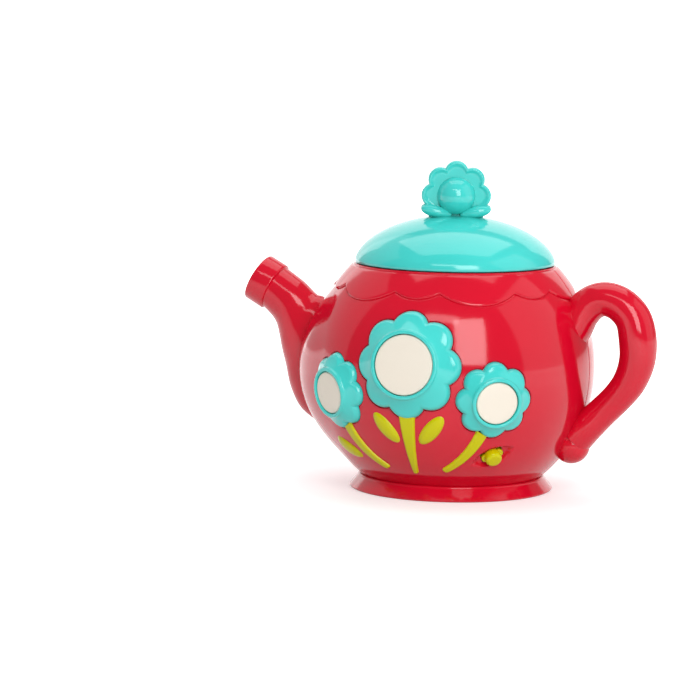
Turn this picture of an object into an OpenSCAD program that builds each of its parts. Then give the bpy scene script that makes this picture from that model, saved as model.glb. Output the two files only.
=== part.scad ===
// Toy teapot with three flower sound buttons, a lift-off lid and a slide switch.
// Millimetres, +Z up, with the origin on the body's axis at the table.
// The buttons face -Y, the spout points to -X and the handle to +X.
// A place on the round body is given by turn (degrees from the front towards the handle)
// and lift (degrees above the ball's centre).

/* [Body] */
// Outer diameter of the ball-shaped body
body_d = 130; // [126:1:136]
// Height of the ball's centre above the table
body_centre_z = 56.5; // [55:0.5:58]
// Height of the mouth's rim
mouth_z = 103; // [101.5:0.5:104]
// Wall of the moulded shells
wall = 2.4; // [2:0.1:2.8]
// Radius of the swelling that carries the spout
swell_r = 44; // [42:0.5:46]
// Distance of the swelling's centre from the body's axis
swell_x = 28.5; // [27:0.5:30]
// Height of the swelling's centre
swell_z = 54; // [52:0.5:56]

/* [Collar] */
// Height of the scalloped collar over the ball
collar_raise = 0.7; // [0.4:0.1:1.2]
// Pairs of lobes along the collar's edge
lobe_pairs = 6; // [4:2:8]
// Radius of a narrow lobe
narrow_lobe_r = 16; // [14:0.5:18]
// Lift of a narrow lobe's lowest point
narrow_lobe_lift = 32.8; // [31:0.2:35]
// Radius of a wide lobe
wide_lobe_r = 22.5; // [20:0.5:25]
// Lift of a wide lobe's lowest point
wide_lobe_lift = 30.4; // [29:0.2:33]

/* [Foot] */
// Height of the foot on which the shells stand
foot_h = 6.5; // [6:0.5:8]
// Diameter of the foot at the table
foot_d = 93; // [92:1:98]
// Diameter of the foot under the shells
foot_top_d = 85.5; // [85:0.5:90]
// Wall of the foot and thickness of its deck
foot_wall = 2.4; // [2:0.1:2.6]

/* [Spout] */
// Wall of the hollow spout
spout_wall = 2.2; // [1.6:0.1:2.6]
// Outer diameter of the ring at the spout's tip
tip_d = 22.8; // [22:0.2:25]
// Length of that ring
tip_l = 10.2; // [8:0.2:13]
// Diameter of the mouth in that ring
tip_mouth_d = 17; // [12:0.5:18]
// Depth of the mouth
tip_mouth_depth = 8; // [4:0.5:9]
// Diameter of the neck that the shells clamp
spout_neck_d = 16; // [12:0.5:18]

/* [Handle] */
// Wall of the hollow handle halves
handle_wall = 2.2; // [1.6:0.1:2.8]
// Diameter of the handle's tube over its upper and outer bends
handle_d = 16.2; // [15:0.2:17.4]
// Diameter of the tube at its lower end
handle_low_d = 14.4; // [13:0.2:15]
// Radius of the handle's upper bend
crook_r = 13.6; // [12.6:0.1:14.6]
// Radius of its outer bend
back_r = 31; // [29:0.5:33]
// Radius of its lower bend
under_r = 72; // [66:1:80]
// Diameter of the ball at the handle's lower end
heel_d = 16.8; // [15:0.2:18]
// Diameter of the two necks that the shells clamp
handle_neck_d = 10; // [7:0.5:11]

/* [Buttons] */
// Lift of the middle flower
centre_lift = 6.2; // [5:0.2:8]
// Turn of the side flowers from the front
side_turn = 35.3; // [34.5:0.1:37]
// Lift of the side flowers
side_lift = -7.3; // [-8:0.1:-6.5]
// Diameter of the middle flower across its petals
centre_flower_d = 49; // [47:0.5:50]
// Radius of a petal of the middle flower
centre_petal_r = 9; // [8:0.2:10]
// Diameter of the side flowers across their petals
side_flower_d = 34.4; // [33.5:0.2:36]
// Radius of a petal of the side flowers
side_petal_r = 6.3; // [5.6:0.1:7]
// Petals of every flower
petals = 8; // [7:1:9]
// Diameter of the middle button
centre_cap_d = 27.6; // [24:0.2:28]
// Diameter of the side buttons
side_cap_d = 18.8; // [17:0.2:19]
// Travel of every button
cap_travel = 2; // [1:0.1:2.2]
// Height of the petals over the ball
petal_raise = 2.2; // [1.6:0.1:3]
// Height of the rim round each button over the ball
rim_raise = 4.7; // [4:0.1:6]
// Width of that rim
rim_w = 1.7; // [1.2:0.1:2.4]

/* [Stems and leaves] */
// Height of stems and leaves over the ball
inlay_raise = 1; // [0.5:0.1:1.6]
// Length of the middle stem
centre_stem_l = 32; // [28:0.5:33]
// Width of the middle stem at its flower
centre_stem_w = 7.8; // [6:0.2:8.4]
// Length of the side stems
side_stem_l = 27; // [24:0.5:28]
// Width of the side stems at their flowers
side_stem_w = 5.8; // [4.5:0.1:6.4]
// Bow of the side stems
side_stem_bow = 1.5; // [0:0.1:2.5]
// Width of every stem's tip
stem_tip_w = 2.4; // [1.6:0.1:3]
// Length of a leaf
leaf_l = 17.6; // [15:0.2:18.4]
// Width of a leaf
leaf_w = 7.2; // [6:0.2:8]

/* [Switch] */
// Turn of the switch and of the leaf that mirrors it
switch_turn = 38.2; // [37:0.2:40]
// Lift of the switch and of that leaf
switch_lift = -32.3; // [-33:0.1:-31]
// Slope of the switch's slot
switch_slope = 28; // [24:1:32]
// Length of the leaf-shaped recess
recess_l = 19; // [18:0.5:21]
// Width of the recess
recess_w = 9; // [8.4:0.2:10]
// Diameter of the switch knob
knob_d = 6.8; // [6:0.2:7.2]
// Travel of the switch to each side
switch_travel = 2; // [1:0.1:2.4]

/* [Lid] */
// Outer diameter of the lid
lid_d = 92; // [91:0.5:93]
// Rise of the lid's dome
lid_rise = 21.7; // [18:0.1:25]
// Wall of the lid
lid_wall = 2.2; // [1.6:0.1:2.6]
// Turn of the knob flower from the front
lid_turn = 18.5; // [0:0.5:45]
// Diameter of the knob flower
knob_flower_d = 32; // [30:0.5:35]
// Radius of a petal of the knob flower
knob_petal_r = 5.6; // [5.2:0.1:6.4]
// Thickness of the knob flower
knob_flower_t = 7; // [6:0.2:10]
// Height of the knob flower's middle over the lid's seat
knob_lift = 9.8; // [8.5:0.2:11]
// Radius of the knob flower's round middle
knob_ball_r = 8.7; // [8:0.1:9.5]

/* [Tea well] */
// Outer diameter of the well under the lid
well_d = 83; // [80:0.5:83]
// Depth of the well below the mouth's rim
well_depth = 40; // [30:1:42]
// Wall of the well
well_wall = 1.8; // [1.4:0.1:2.4]

/* [Electrics] */
// Diameter of a battery cell
cell_d = 14.5; // [14:0.1:14.6]
// Length of a battery cell
cell_l = 50.5; // [49:0.1:51]
// Thickness of the circuit boards
board_t = 1.6; // [1:0.1:2]
// Length of the main board
main_board_l = 52; // [46:1:56]
// Width of the main board
main_board_w = 36; // [32:1:40]
// Diameter of the speaker
speaker_d = 40; // [36:0.5:41]
// Lift of the speaker on the rear of the ball
speaker_lift = -6; // [-10:0.5:-4]
// Diameter of a sound hole
sound_hole_d = 2.4; // [1.6:0.1:3]

/* [Fits] */
// Gap round pieces that move
run_gap = 0.35; // [0.3:0.05:0.5]
// Gap round pieces that are let in
seat_gap = 0.1; // [0.05:0.05:0.2]

/* [Hidden] */
$fn = 96;
far = 200;
// Overshoot of a cut past the solid that it opens
over = 1;
// Gaps round a screw: where it bites, where it passes through, and round its head
bite_gap = 0.05;
pass_gap = 0.25;
head_gap = 0.4;

red = [0.82, 0.06, 0.15];
teal = [0.33, 0.84, 0.80];
cream = [0.95, 0.91, 0.84];
lime = [0.78, 0.80, 0.04];
steel = [0.72, 0.73, 0.75];
board_green = [0.10, 0.38, 0.22];
black = [0.08, 0.08, 0.09];
paper = [0.25, 0.24, 0.23];
rubber = [0.80, 0.80, 0.78];

body_r = body_d / 2;
inner_r = body_r - wall;
pocket_depth = 0.7;
pocket_gap = 0.35;
pocket_r = body_r - pocket_depth;

// Frames

module at_centre() {
    translate([0, 0, body_centre_z]) children();
}

// Local +z leaves the ball at the given place, and local +y points up along its skin.
module on_body(turn, lift) {
    at_centre() rotate([0, 0, turn]) rotate([90 - lift, 0, 0]) children();
}

// A prism through the skin, out from half the ball's radius.
module through_skin() {
    translate([0, 0, body_r / 2]) linear_extrude(body_r) children();
}

// A curved plate between two balls with the given outline.
module skin_plate(low_r, high_r) {
    difference() {
        intersection() {
            through_skin() children();
            sphere(high_r);
        }
        sphere(low_r);
    }
}

// Smooth curves through hand-chosen points

function catmull(a, b, c, d, t) =
    0.5 * (2 * b + (c - a) * t + (2 * a - 5 * b + 4 * c - d) * t * t
    + (3 * b - a - 3 * c + d) * t * t * t);
function smooth_path(p, steps) = concat(
    [for (i = [0 : len(p) - 2]) for (k = [0 : steps - 1])
        catmull(p[max(i - 1, 0)], p[i], p[i + 1], p[min(i + 2, len(p) - 1)], k / steps)],
    [p[len(p) - 1]]);
function unit(v) = v / norm(v);
function along(p, i) = unit(p[min(i + 1, len(p) - 1)] - p[max(i - 1, 0)]);

// A closed skin over rings that all have as many points.
module skin(rings) {
    n = len(rings);
    m = len(rings[0]);
    points = [for (ring = rings) each ring];
    sides = [for (i = [0 : n - 2]) for (j = [0 : m - 1]) let(k = (j + 1) % m)
        each [[i * m + j, i * m + k, (i + 1) * m + k],
              [i * m + j, (i + 1) * m + k, (i + 1) * m + j]]];
    first_cap = [[for (j = [m - 1 : -1 : 0]) j]];
    last_cap = [[for (j = [0 : m - 1]) (n - 1) * m + j]];
    polyhedron(points, concat(sides, first_cap, last_cap), convexity = 6);
}

// A round wire along hand-chosen points.
wire_r = 0.65;
wire_sides = 8;
wire_steps = 4;
wire_aside = [0.31, 0.53, 0.79];
function wire_ring(p, i) = let(t = along(p, i), u = unit(cross(t, wire_aside)), v = cross(t, u))
    [for (j = [0 : wire_sides - 1]) let(a = -360 * j / wire_sides)
        p[i] + wire_r * (cos(a) * u + sin(a) * v)];
module wire(route) {
    path = smooth_path(route, wire_steps);
    skin([for (i = [0 : len(path) - 1]) wire_ring(path, i)]);
}

// Outlines

module flower_outline(tip_r, petal_r, grow = 0) {
    reach = tip_r - petal_r;
    circle(reach);
    for (i = [0 : petals - 1])
        rotate(90 + 360 * i / petals) translate([reach, 0]) circle(petal_r + grow);
}

// A leaf with its long axis along y and blunt ends.
leaf_blunt = 0.8;
module leaf_outline(length, width, grow = 0) {
    arc_r = (length * length + width * width) / (4 * width);
    intersection() {
        translate([arc_r - width / 2, 0]) circle(arc_r + grow);
        translate([width / 2 - arc_r, 0]) circle(arc_r + grow);
        circle(length / 2 - leaf_blunt + grow);
    }
}

// A stem along y that tapers to a round tip and bows to +x.
stem_steps = 8;
tip_steps = 6;
function stem_mid(length, bow, t) = [bow * (1 - 4 * (t - 0.5) * (t - 0.5)), length * (0.5 - t)];
module stem_outline(length, top_w, bow, grow = 0) {
    half_w = [for (k = [0 : stem_steps]) (top_w + (stem_tip_w - top_w) * k / stem_steps) / 2 + grow];
    mid = [for (k = [0 : stem_steps]) stem_mid(length, bow, k / stem_steps)];
    across = [for (k = [0 : stem_steps]) let(t = along(mid, k)) [-t[1], t[0]]];
    last = along(mid, stem_steps);
    polygon(concat(
        [for (k = [0 : stem_steps]) mid[k] + half_w[k] * across[k]],
        [for (k = [1 : tip_steps - 1]) let(a = 180 * k / tip_steps)
            mid[stem_steps] + half_w[stem_steps] * (cos(a) * across[stem_steps] + sin(a) * last)],
        [for (k = [stem_steps : -1 : 0]) mid[k] - half_w[k] * across[k]]));
}

// Body forms

module swelling(grow) {
    translate([-swell_x, 0, swell_z]) sphere(swell_r + grow);
}

module collar_lobes() {
    step = 360 / lobe_pairs;
    for (i = [0 : lobe_pairs - 1]) {
        on_body(i * step, narrow_lobe_lift + asin(narrow_lobe_r / body_r))
            translate([0, 0, body_r * 0.7]) cylinder(h = body_r * 0.5, r = narrow_lobe_r);
        on_body((i + 0.5) * step, wide_lobe_lift + asin(wide_lobe_r / body_r))
            translate([0, 0, body_r * 0.7]) cylinder(h = body_r * 0.5, r = wide_lobe_r);
    }
}

module outer_form(grow = 0) {
    at_centre() sphere(body_r + grow);
    swelling(grow);
    intersection() {
        at_centre() sphere(body_r + collar_raise + grow);
        collar_lobes();
    }
}

module inner_form() {
    at_centre() sphere(inner_r);
    swelling(-wall);
}

// The half of space at the front (side -1) or the rear (side 1), between foot and mouth.
module half_space(side) {
    translate([-far, side < 0 ? -far : 0, foot_h]) cube([2 * far, far, mouth_z - foot_h]);
}

// Flowers, as [turn, lift, tip radius, petal radius, cap radius]

centre_spec = [0, centre_lift, centre_flower_d / 2, centre_petal_r, centre_cap_d / 2];
left_spec = [-side_turn, side_lift, side_flower_d / 2, side_petal_r, side_cap_d / 2];
right_spec = [side_turn, side_lift, side_flower_d / 2, side_petal_r, side_cap_d / 2];
flower_specs = [centre_spec, left_spec, right_spec];

cap_lip_w = 1.3;
cap_lip_t = 1.7;
cap_step = -1;
cap_sink = 0.3;
cap_top = rim_raise - cap_sink;
cap_low = cap_step - run_gap - cap_lip_t;
pressed_dome_h = 4;
barrel_wall = 2.7;
barrel_sink = 1;
barrel_depth = cap_travel + pressed_dome_h - cap_low;
crown_w = 4.4;
rim_bevel = 0.6;
function low_bore_r(spec) = spec[4] + cap_lip_w + run_gap;
function barrel_r(spec) = low_bore_r(spec) + barrel_wall;
function rim_r(spec) = spec[4] + run_gap + rim_w;
function board_screw_x(spec) = low_bore_r(spec) + barrel_wall / 2;
module on_flower(spec) {
    on_body(spec[0], spec[1]) children();
}
module flower_prism(spec, grow) {
    on_flower(spec) through_skin() flower_outline(spec[2], spec[3], grow);
}

module flower_pocket(spec) {
    on_flower(spec) skin_plate(pocket_r, body_r + far / 10) flower_outline(spec[2], spec[3], pocket_gap);
    on_flower(spec) translate([0, 0, body_r / 2]) cylinder(h = body_r, r = barrel_r(spec) + seat_gap);
}

board_screw_r = 0.9;
board_screw_bite = 4.5;
board_head_r = 1.8;
board_head_h = 1.2;
module flower(spec) {
    crown_r = rim_r(spec) + crown_w;
    crown_z = sqrt(pow(body_r + petal_raise, 2) - crown_r * crown_r) - seat_gap;
    crown_top = body_r + rim_raise - rim_bevel;
    color(teal) on_flower(spec) difference() {
        union() {
            skin_plate(pocket_r + seat_gap, body_r + petal_raise) flower_outline(spec[2], spec[3]);
            translate([0, 0, crown_z]) cylinder(h = crown_top - crown_z, r1 = crown_r, r2 = rim_r(spec));
            translate([0, 0, crown_z]) cylinder(h = body_r + rim_raise - crown_z, r = rim_r(spec));
            translate([0, 0, body_r - barrel_depth])
                cylinder(h = barrel_depth - barrel_sink, r = barrel_r(spec));
        }
        translate([0, 0, body_r - 2 * barrel_depth]) cylinder(h = 3 * barrel_depth, r = spec[4] + run_gap);
        translate([0, 0, body_r - 2 * barrel_depth])
            cylinder(h = 2 * barrel_depth + cap_step, r = low_bore_r(spec));
        for (x = [-1, 1])
            translate([x * board_screw_x(spec), 0, body_r - barrel_depth - over])
                cylinder(h = board_screw_bite + 2 * over, r = board_screw_r + bite_gap);
    }
}

cap_wall = 1.6;
post_r = 3.2;
module button(spec) {
    color(cream) on_flower(spec) difference() {
        union() {
            translate([0, 0, body_r + cap_low]) cylinder(h = cap_top - cap_low, r = spec[4]);
            translate([0, 0, body_r + cap_low]) cylinder(h = cap_lip_t, r = spec[4] + cap_lip_w);
        }
        translate([0, 0, body_r + cap_low - over]) difference() {
            cylinder(h = cap_top - cap_low + over - cap_wall, r = spec[4] - cap_wall);
            cylinder(h = far, r = post_r, center = true);
        }
    }
}

dome_base_r = 6;
dome_base_t = 1;
dome_wall = 0.8;
module press_dome(spec) {
    dome_h = barrel_depth + cap_low - seat_gap;
    color(rubber) on_flower(spec) translate([0, 0, body_r - barrel_depth]) difference() {
        union() {
            cylinder(h = dome_base_t, r = dome_base_r);
            cylinder(h = dome_h, r1 = dome_base_r - dome_wall, r2 = post_r);
        }
        translate([0, 0, -over]) cylinder(h = dome_h + over - dome_wall,
            r1 = dome_base_r - 2 * dome_wall, r2 = post_r - dome_wall);
    }
}

module button_board(spec) {
    color(board_green) on_flower(spec) translate([0, 0, body_r - barrel_depth - board_t]) difference() {
        cylinder(h = board_t, r = barrel_r(spec));
        for (x = [-1, 1])
            translate([x * board_screw_x(spec), 0, -over])
                cylinder(h = board_t + 2 * over, r = board_screw_r + pass_gap);
    }
}

// A pan-head screw with its head below z = 0 and its shank along +z.
module screw(shank_r, length, head_r, head_h) {
    cylinder(h = length, r = shank_r);
    translate([0, 0, -head_h]) cylinder(h = head_h, r = head_r);
}

module button_board_screws() {
    color(steel) for (spec = flower_specs) on_flower(spec) for (x = [-1, 1])
        translate([x * board_screw_x(spec), 0, body_r - barrel_depth - board_t])
            screw(board_screw_r, board_t + board_screw_bite, board_head_r, board_head_h);
}

// Stems and leaves, let into the front shell

leaf_turn = 10;
leaf_lift = -20;
leaf_roll = 37;
centre_stem_lift = -26.6;
side_stem_turn = 24.8;
side_stem_lift = -29.2;
side_stem_roll = 35;
inlay_depth = 0.5;
inlay_pocket_r = body_r - inlay_depth;
inlay_low_r = inlay_pocket_r + seat_gap;

module centre_stem_at() { on_body(0, centre_stem_lift) children(); }
module side_stem_at(side) {
    on_body(side * side_stem_turn, side_stem_lift) rotate([0, 0, -side * side_stem_roll]) children();
}
module centre_leaf_at(side) {
    on_body(side * leaf_turn, leaf_lift) rotate([0, 0, -side * leaf_roll]) children();
}
module switch_at(side) {
    on_body(side * switch_turn, switch_lift) rotate([0, 0, side * switch_slope]) children();
}
module side_stem_outline(side, grow) {
    stem_outline(side_stem_l, side_stem_w, side * side_stem_bow, grow);
}

module inlay_pockets() {
    centre_stem_at() skin_plate(inlay_pocket_r, body_r + far / 10)
        stem_outline(centre_stem_l, centre_stem_w, 0, seat_gap);
    for (side = [-1, 1]) {
        side_stem_at(side) skin_plate(inlay_pocket_r, body_r + far / 10) side_stem_outline(side, seat_gap);
        centre_leaf_at(side) skin_plate(inlay_pocket_r, body_r + far / 10)
            leaf_outline(leaf_l, leaf_w, seat_gap);
    }
    switch_at(-1) rotate([0, 0, 90]) skin_plate(inlay_pocket_r, body_r + far / 10)
        leaf_outline(leaf_l, leaf_w, seat_gap);
}

module centre_stem() {
    color(lime) difference() {
        centre_stem_at() skin_plate(inlay_low_r, body_r + inlay_raise)
            stem_outline(centre_stem_l, centre_stem_w, 0);
        flower_prism(centre_spec, pocket_gap);
    }
}

module side_stem(side, spec) {
    color(lime) difference() {
        side_stem_at(side) skin_plate(inlay_low_r, body_r + inlay_raise) side_stem_outline(side, 0);
        flower_prism(spec, pocket_gap);
    }
}

module centre_leaf(side) {
    color(lime) centre_leaf_at(side) skin_plate(inlay_low_r, body_r + inlay_raise)
        leaf_outline(leaf_l, leaf_w);
}

module left_leaf() {
    color(lime) switch_at(-1) rotate([0, 0, 90]) skin_plate(inlay_low_r, body_r + inlay_raise)
        leaf_outline(leaf_l, leaf_w);
}

// Slide switch

recess_depth = 1.7;
pad_depth = 4.6;
pad_l = 30;
pad_w = 12;
slot_neck_l = 5.6;
slot_neck_w = 4.4;
slider_w = 7.4;
slider_t = 1.2;
switch_l = 14;
switch_w = 6.4;
switch_h = 5;
tongue_w = 1.8;
tongue_h = 2.4;
switch_boss_r = 2.4;
switch_screw_x = pad_l / 2 - switch_boss_r;
slider_l = 2 * (switch_screw_x - switch_boss_r - switch_travel - run_gap);
knob_rise = 1.4;
knob_bevel_h = 0.9;
knob_bevel_w = 0.8;
slider_top = body_r - pad_depth - run_gap;
switch_top = slider_top - slider_t - run_gap;
switch_low = switch_top - switch_h;

module bar(length, width, height) {
    translate([-length / 2, -width / 2, 0]) cube([length, width, height]);
}

module switch_cut() {
    switch_at(1) translate([0, 0, body_r - recess_depth]) rotate([0, 0, 90])
        linear_extrude(far / 10) leaf_outline(recess_l, recess_w);
    switch_at(1) translate([0, 0, body_r - 2 * pad_depth])
        bar(slot_neck_l + 2 * switch_travel + 2 * run_gap, slot_neck_w + 2 * run_gap, 3 * pad_depth);
}

module switch_pad() {
    intersection() {
        at_centre() sphere(body_r - wall / 2);
        switch_at(1) union() {
            translate([0, 0, body_r - pad_depth]) bar(pad_l, pad_w, pad_depth);
            for (x = [-1, 1]) translate([x * switch_screw_x, 0, switch_low])
                cylinder(h = body_r - switch_low, r = switch_boss_r);
        }
    }
}

module switch_screw_holes() {
    switch_at(1) for (x = [-1, 1]) translate([x * switch_screw_x, 0, switch_low - over])
        cylinder(h = board_screw_bite + 1.5 * over, r = board_screw_r + bite_gap);
}

module switch_slider() {
    color(lime) switch_at(1) {
        translate([0, 0, slider_top - slider_t]) bar(slider_l, slider_w, slider_t);
        translate([0, 0, slider_top]) bar(slot_neck_l, slot_neck_w, body_r - slider_top);
        translate([0, 0, body_r - recess_depth + run_gap])
            cylinder(h = recess_depth + knob_rise, d = knob_d);
        translate([0, 0, body_r + run_gap + knob_rise])
            cylinder(h = knob_bevel_h, d1 = knob_d, d2 = knob_d - 2 * knob_bevel_w);
        translate([0, 0, slider_top - slider_t - tongue_h]) bar(tongue_w, tongue_w, tongue_h);
    }
}

module switch_body() {
    color(black) switch_at(1) difference() {
        translate([0, 0, switch_low]) bar(switch_l, switch_w, switch_h);
        translate([0, 0, switch_top - tongue_h])
            bar(tongue_w + 2 * switch_travel + 2 * run_gap, tongue_w + 2 * run_gap, far / 10);
    }
}

module switch_board() {
    color(board_green) switch_at(1) translate([0, 0, switch_low - board_t]) difference() {
        bar(pad_l, pad_w, board_t);
        for (x = [-1, 1]) translate([x * switch_screw_x, 0, -over])
            cylinder(h = board_t + 2 * over, r = board_screw_r + pass_gap);
    }
}

module switch_screws() {
    color(steel) switch_at(1) for (x = [-1, 1])
        translate([x * switch_screw_x, 0, switch_low - board_t])
            screw(board_screw_r, board_t + board_screw_bite, board_head_r, board_head_h);
}

// Shell fasteners

upper_boss_in = 17.7;
upper_boss_up = 34.5;
lower_boss_in = 19;
lower_boss_down = 20.5;
upper_boss_x = body_r - upper_boss_in;
upper_boss_z = body_centre_z + upper_boss_up;
lower_boss_x = body_r - lower_boss_in;
lower_boss_z = body_centre_z - lower_boss_down;
boss_r = 3.6;
shell_screw_r = 1.3;
shell_head_r = 2.8;
shell_head_h = 2.2;
shell_screw_seat = 9;
shell_screw_reach = 11;
boss_places = [for (x = [-1, 1]) each [
    [x * upper_boss_x, upper_boss_z],
    [x * lower_boss_x, lower_boss_z]]];

module shell_bosses(side) {
    intersection() {
        at_centre() sphere(body_r - wall / 2);
        for (p = boss_places) translate([p[0], 0, p[1]])
            rotate([side < 0 ? 90 : -90, 0, 0]) cylinder(h = body_r, r = boss_r);
    }
}

module shell_screw_holes(side) {
    for (p = boss_places) translate([p[0], 0, p[1]]) rotate([-90, 0, 0]) {
        if (side < 0)
            translate([0, 0, -shell_screw_reach - over])
                cylinder(h = shell_screw_reach + 2 * over, r = shell_screw_r + bite_gap);
        else {
            translate([0, 0, -over]) cylinder(h = far / 2, r = shell_screw_r + pass_gap);
            translate([0, 0, shell_screw_seat]) cylinder(h = far / 2, r = shell_head_r + head_gap);
        }
    }
}

module shell_screws() {
    color(steel) for (p = boss_places) translate([p[0], shell_screw_seat, p[1]]) rotate([90, 0, 0])
        screw(shell_screw_r, shell_screw_seat + shell_screw_reach, shell_head_r, shell_head_h);
}

base_screw_turn = 55;
base_screw_r = 1.3;
base_screw_reach = 8;
base_boss_r = 3.2;
base_head_r = 2.6;
base_head_h = 2;
base_rib_t = 2.4;
// The screws clear both the inside of the foot and the inside of the ball.
base_screw_out = min(
    min(foot_d, foot_top_d) / 2 - foot_wall - base_head_r - head_gap,
    chord(inner_r, body_centre_z - foot_h) - seat_gap);
module base_screw_places() {
    for (x = [-1, 1]) for (y = [-1, 1]) rotate([0, 0, y * (90 - x * (90 - base_screw_turn))])
        translate([base_screw_out, 0, foot_h]) children();
}

// A rib ties each boss to the ball's wall.
module base_bosses() {
    height = base_screw_reach + wall;
    intersection() {
        at_centre() sphere(body_r - wall / 2);
        base_screw_places() {
            cylinder(h = height, r = base_boss_r);
            translate([0, -base_rib_t / 2, 0]) cube([body_r, base_rib_t, height]);
        }
    }
}

module base_screw_holes() {
    base_screw_places() translate([0, 0, -over])
        cylinder(h = base_screw_reach + 1.5 * over, r = base_screw_r + bite_gap);
}

module base_screws() {
    color(steel) base_screw_places() translate([0, 0, -foot_wall])
        screw(base_screw_r, foot_wall + base_screw_reach, base_head_r, base_head_h);
}

// Necks by which the shells clamp the spout and the handle

neck_flange_w = 3;
neck_flange_t = 2;
handle_upper_dz = 23.5;
handle_lower_dz = -33;
function chord(r, h) = sqrt(r * r - h * h);
function flange_x(dz, flange_r) = chord(inner_r, abs(dz) + flange_r) - run_gap;
handle_flange_r = handle_neck_d / 2 + neck_flange_w;

// A neck along x from the flange's inner face out to x = reach.
module neck(flange_face, reach, neck_r) {
    rotate([0, 90, 0]) translate([0, 0, flange_face - neck_flange_t]) {
        cylinder(h = reach - flange_face + neck_flange_t, r = neck_r);
        cylinder(h = neck_flange_t, r = neck_r + neck_flange_w);
    }
}

spout_flange_x = swell_x + chord(swell_r - wall, spout_neck_d / 2 + neck_flange_w) - run_gap;
spout_neck_reach = swell_x + swell_r + spout_wall;

module neck_holes() {
    for (dz = [handle_upper_dz, handle_lower_dz])
        translate([0, 0, body_centre_z + dz]) rotate([0, 90, 0])
            cylinder(h = body_r + 10, d = handle_neck_d + 2 * seat_gap);
    translate([-spout_neck_reach, 0, swell_z]) rotate([0, 90, 0])
        cylinder(h = spout_neck_reach, d = spout_neck_d + 2 * seat_gap);
}

// Seat of the tea well inside the shells

well_r = well_d / 2;
ledge_z = mouth_z - 5;
ledge_t = 1.6;
well_flange_t = 1.8;
well_flange_r = chord(inner_r, ledge_z + well_flange_t - body_centre_z) - run_gap;

module well_ledge() {
    intersection() {
        at_centre() sphere(body_r - wall / 2);
        translate([0, 0, ledge_z - ledge_t]) difference() {
            cylinder(h = ledge_t, r = body_r);
            translate([0, 0, -over]) cylinder(h = ledge_t + 2 * over, r = well_r + seat_gap);
        }
    }
}

module tea_well() {
    floor_z = mouth_z - well_depth;
    color(red) {
        translate([0, 0, floor_z]) difference() {
            cylinder(h = mouth_z - floor_z - run_gap, r = well_r);
            translate([0, 0, well_wall]) cylinder(h = well_depth, r = well_r - well_wall);
        }
        translate([0, 0, ledge_z]) difference() {
            cylinder(h = well_flange_t, r = well_flange_r);
            translate([0, 0, -over]) cylinder(h = well_flange_t + 2 * over, r = well_r - well_wall / 2);
        }
    }
}

// Speaker on the rear shell

speaker_r = speaker_d / 2;
speaker_sink = 7;
speaker_face = body_r - speaker_sink;
speaker_seat_w = 3;
speaker_boss_r = 2.8;
speaker_screw_x = speaker_r + 2.2;
speaker_screw_r = 1;
speaker_screw_bite = 2;
speaker_head_r = 3;
speaker_head_h = 1.2;
sound_rings = 3;
sound_pitch = 4.6;

module speaker_at() { on_body(180, speaker_lift) children(); }
module speaker_screw_places() {
    for (i = [0 : 2]) rotate([0, 0, 90 + 120 * i]) translate([speaker_screw_x, 0, 0]) children();
}

module speaker_seat() {
    intersection() {
        at_centre() sphere(body_r - wall / 2);
        speaker_at() translate([0, 0, speaker_face]) {
            difference() {
                cylinder(h = speaker_sink, r = speaker_r);
                translate([0, 0, -over]) cylinder(h = far, r = speaker_r - speaker_seat_w);
            }
            speaker_screw_places() cylinder(h = speaker_sink, r = speaker_boss_r);
        }
    }
}

module speaker_holes() {
    speaker_at() {
        for (ring = [0 : sound_rings]) for (i = [0 : max(6 * ring, 1) - 1])
            rotate([0, 0, 360 * i / max(6 * ring, 1)]) translate([ring * sound_pitch, 0, body_r / 2])
                cylinder(h = body_r, d = sound_hole_d);
        translate([0, 0, speaker_face - over]) speaker_screw_places()
            cylinder(h = speaker_screw_bite + 1.2 * over, r = speaker_screw_r + bite_gap);
    }
}

flange_t = 1;
basket_h = 6;
basket_wall = 1;
magnet_h = 7;
magnet_r = 11;
cone_r = speaker_r - 2.5;
cone_edge = 0.3;
cone_t = 0.8;
coil_r = 7;
module speaker_basket() {
    color(steel) speaker_at() translate([0, 0, speaker_face - flange_t]) rotate_extrude() polygon([
        [0, -basket_h],
        [magnet_r + basket_wall, -basket_h],
        [speaker_r - basket_wall, 0],
        [speaker_r, 0],
        [speaker_r, flange_t],
        [cone_r, flange_t],
        [magnet_r, basket_wall - basket_h],
        [0, basket_wall - basket_h]
    ]);
}

module speaker_cone() {
    cone_h = basket_h + flange_t - basket_wall;
    color(paper) speaker_at() translate([0, 0, speaker_face - cone_h]) rotate_extrude() polygon([
        [0, 0],
        [coil_r, 0],
        [cone_r - cone_edge, cone_h],
        [cone_r - cone_edge - 2 * cone_t, cone_h],
        [coil_r - cone_t, cone_t],
        [0, cone_t]
    ]);
}

module speaker_magnet() {
    color(black) speaker_at() translate([0, 0, speaker_face - flange_t - basket_h - magnet_h])
        cylinder(h = magnet_h, r = magnet_r);
}

module speaker_screws() {
    color(steel) speaker_at() translate([0, 0, speaker_face - flange_t]) speaker_screw_places()
        screw(speaker_screw_r, flange_t + speaker_screw_bite, speaker_head_r, speaker_head_h);
}

// Shells

module front_shell() {
    color(red) intersection() {
        half_space(-1);
        difference() {
            union() {
                difference() {
                    outer_form();
                    inner_form();
                }
                well_ledge();
                shell_bosses(-1);
                base_bosses();
                switch_pad();
            }
            for (spec = flower_specs) flower_pocket(spec);
            inlay_pockets();
            switch_cut();
            switch_screw_holes();
            shell_screw_holes(-1);
            base_screw_holes();
            neck_holes();
        }
    }
}

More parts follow.
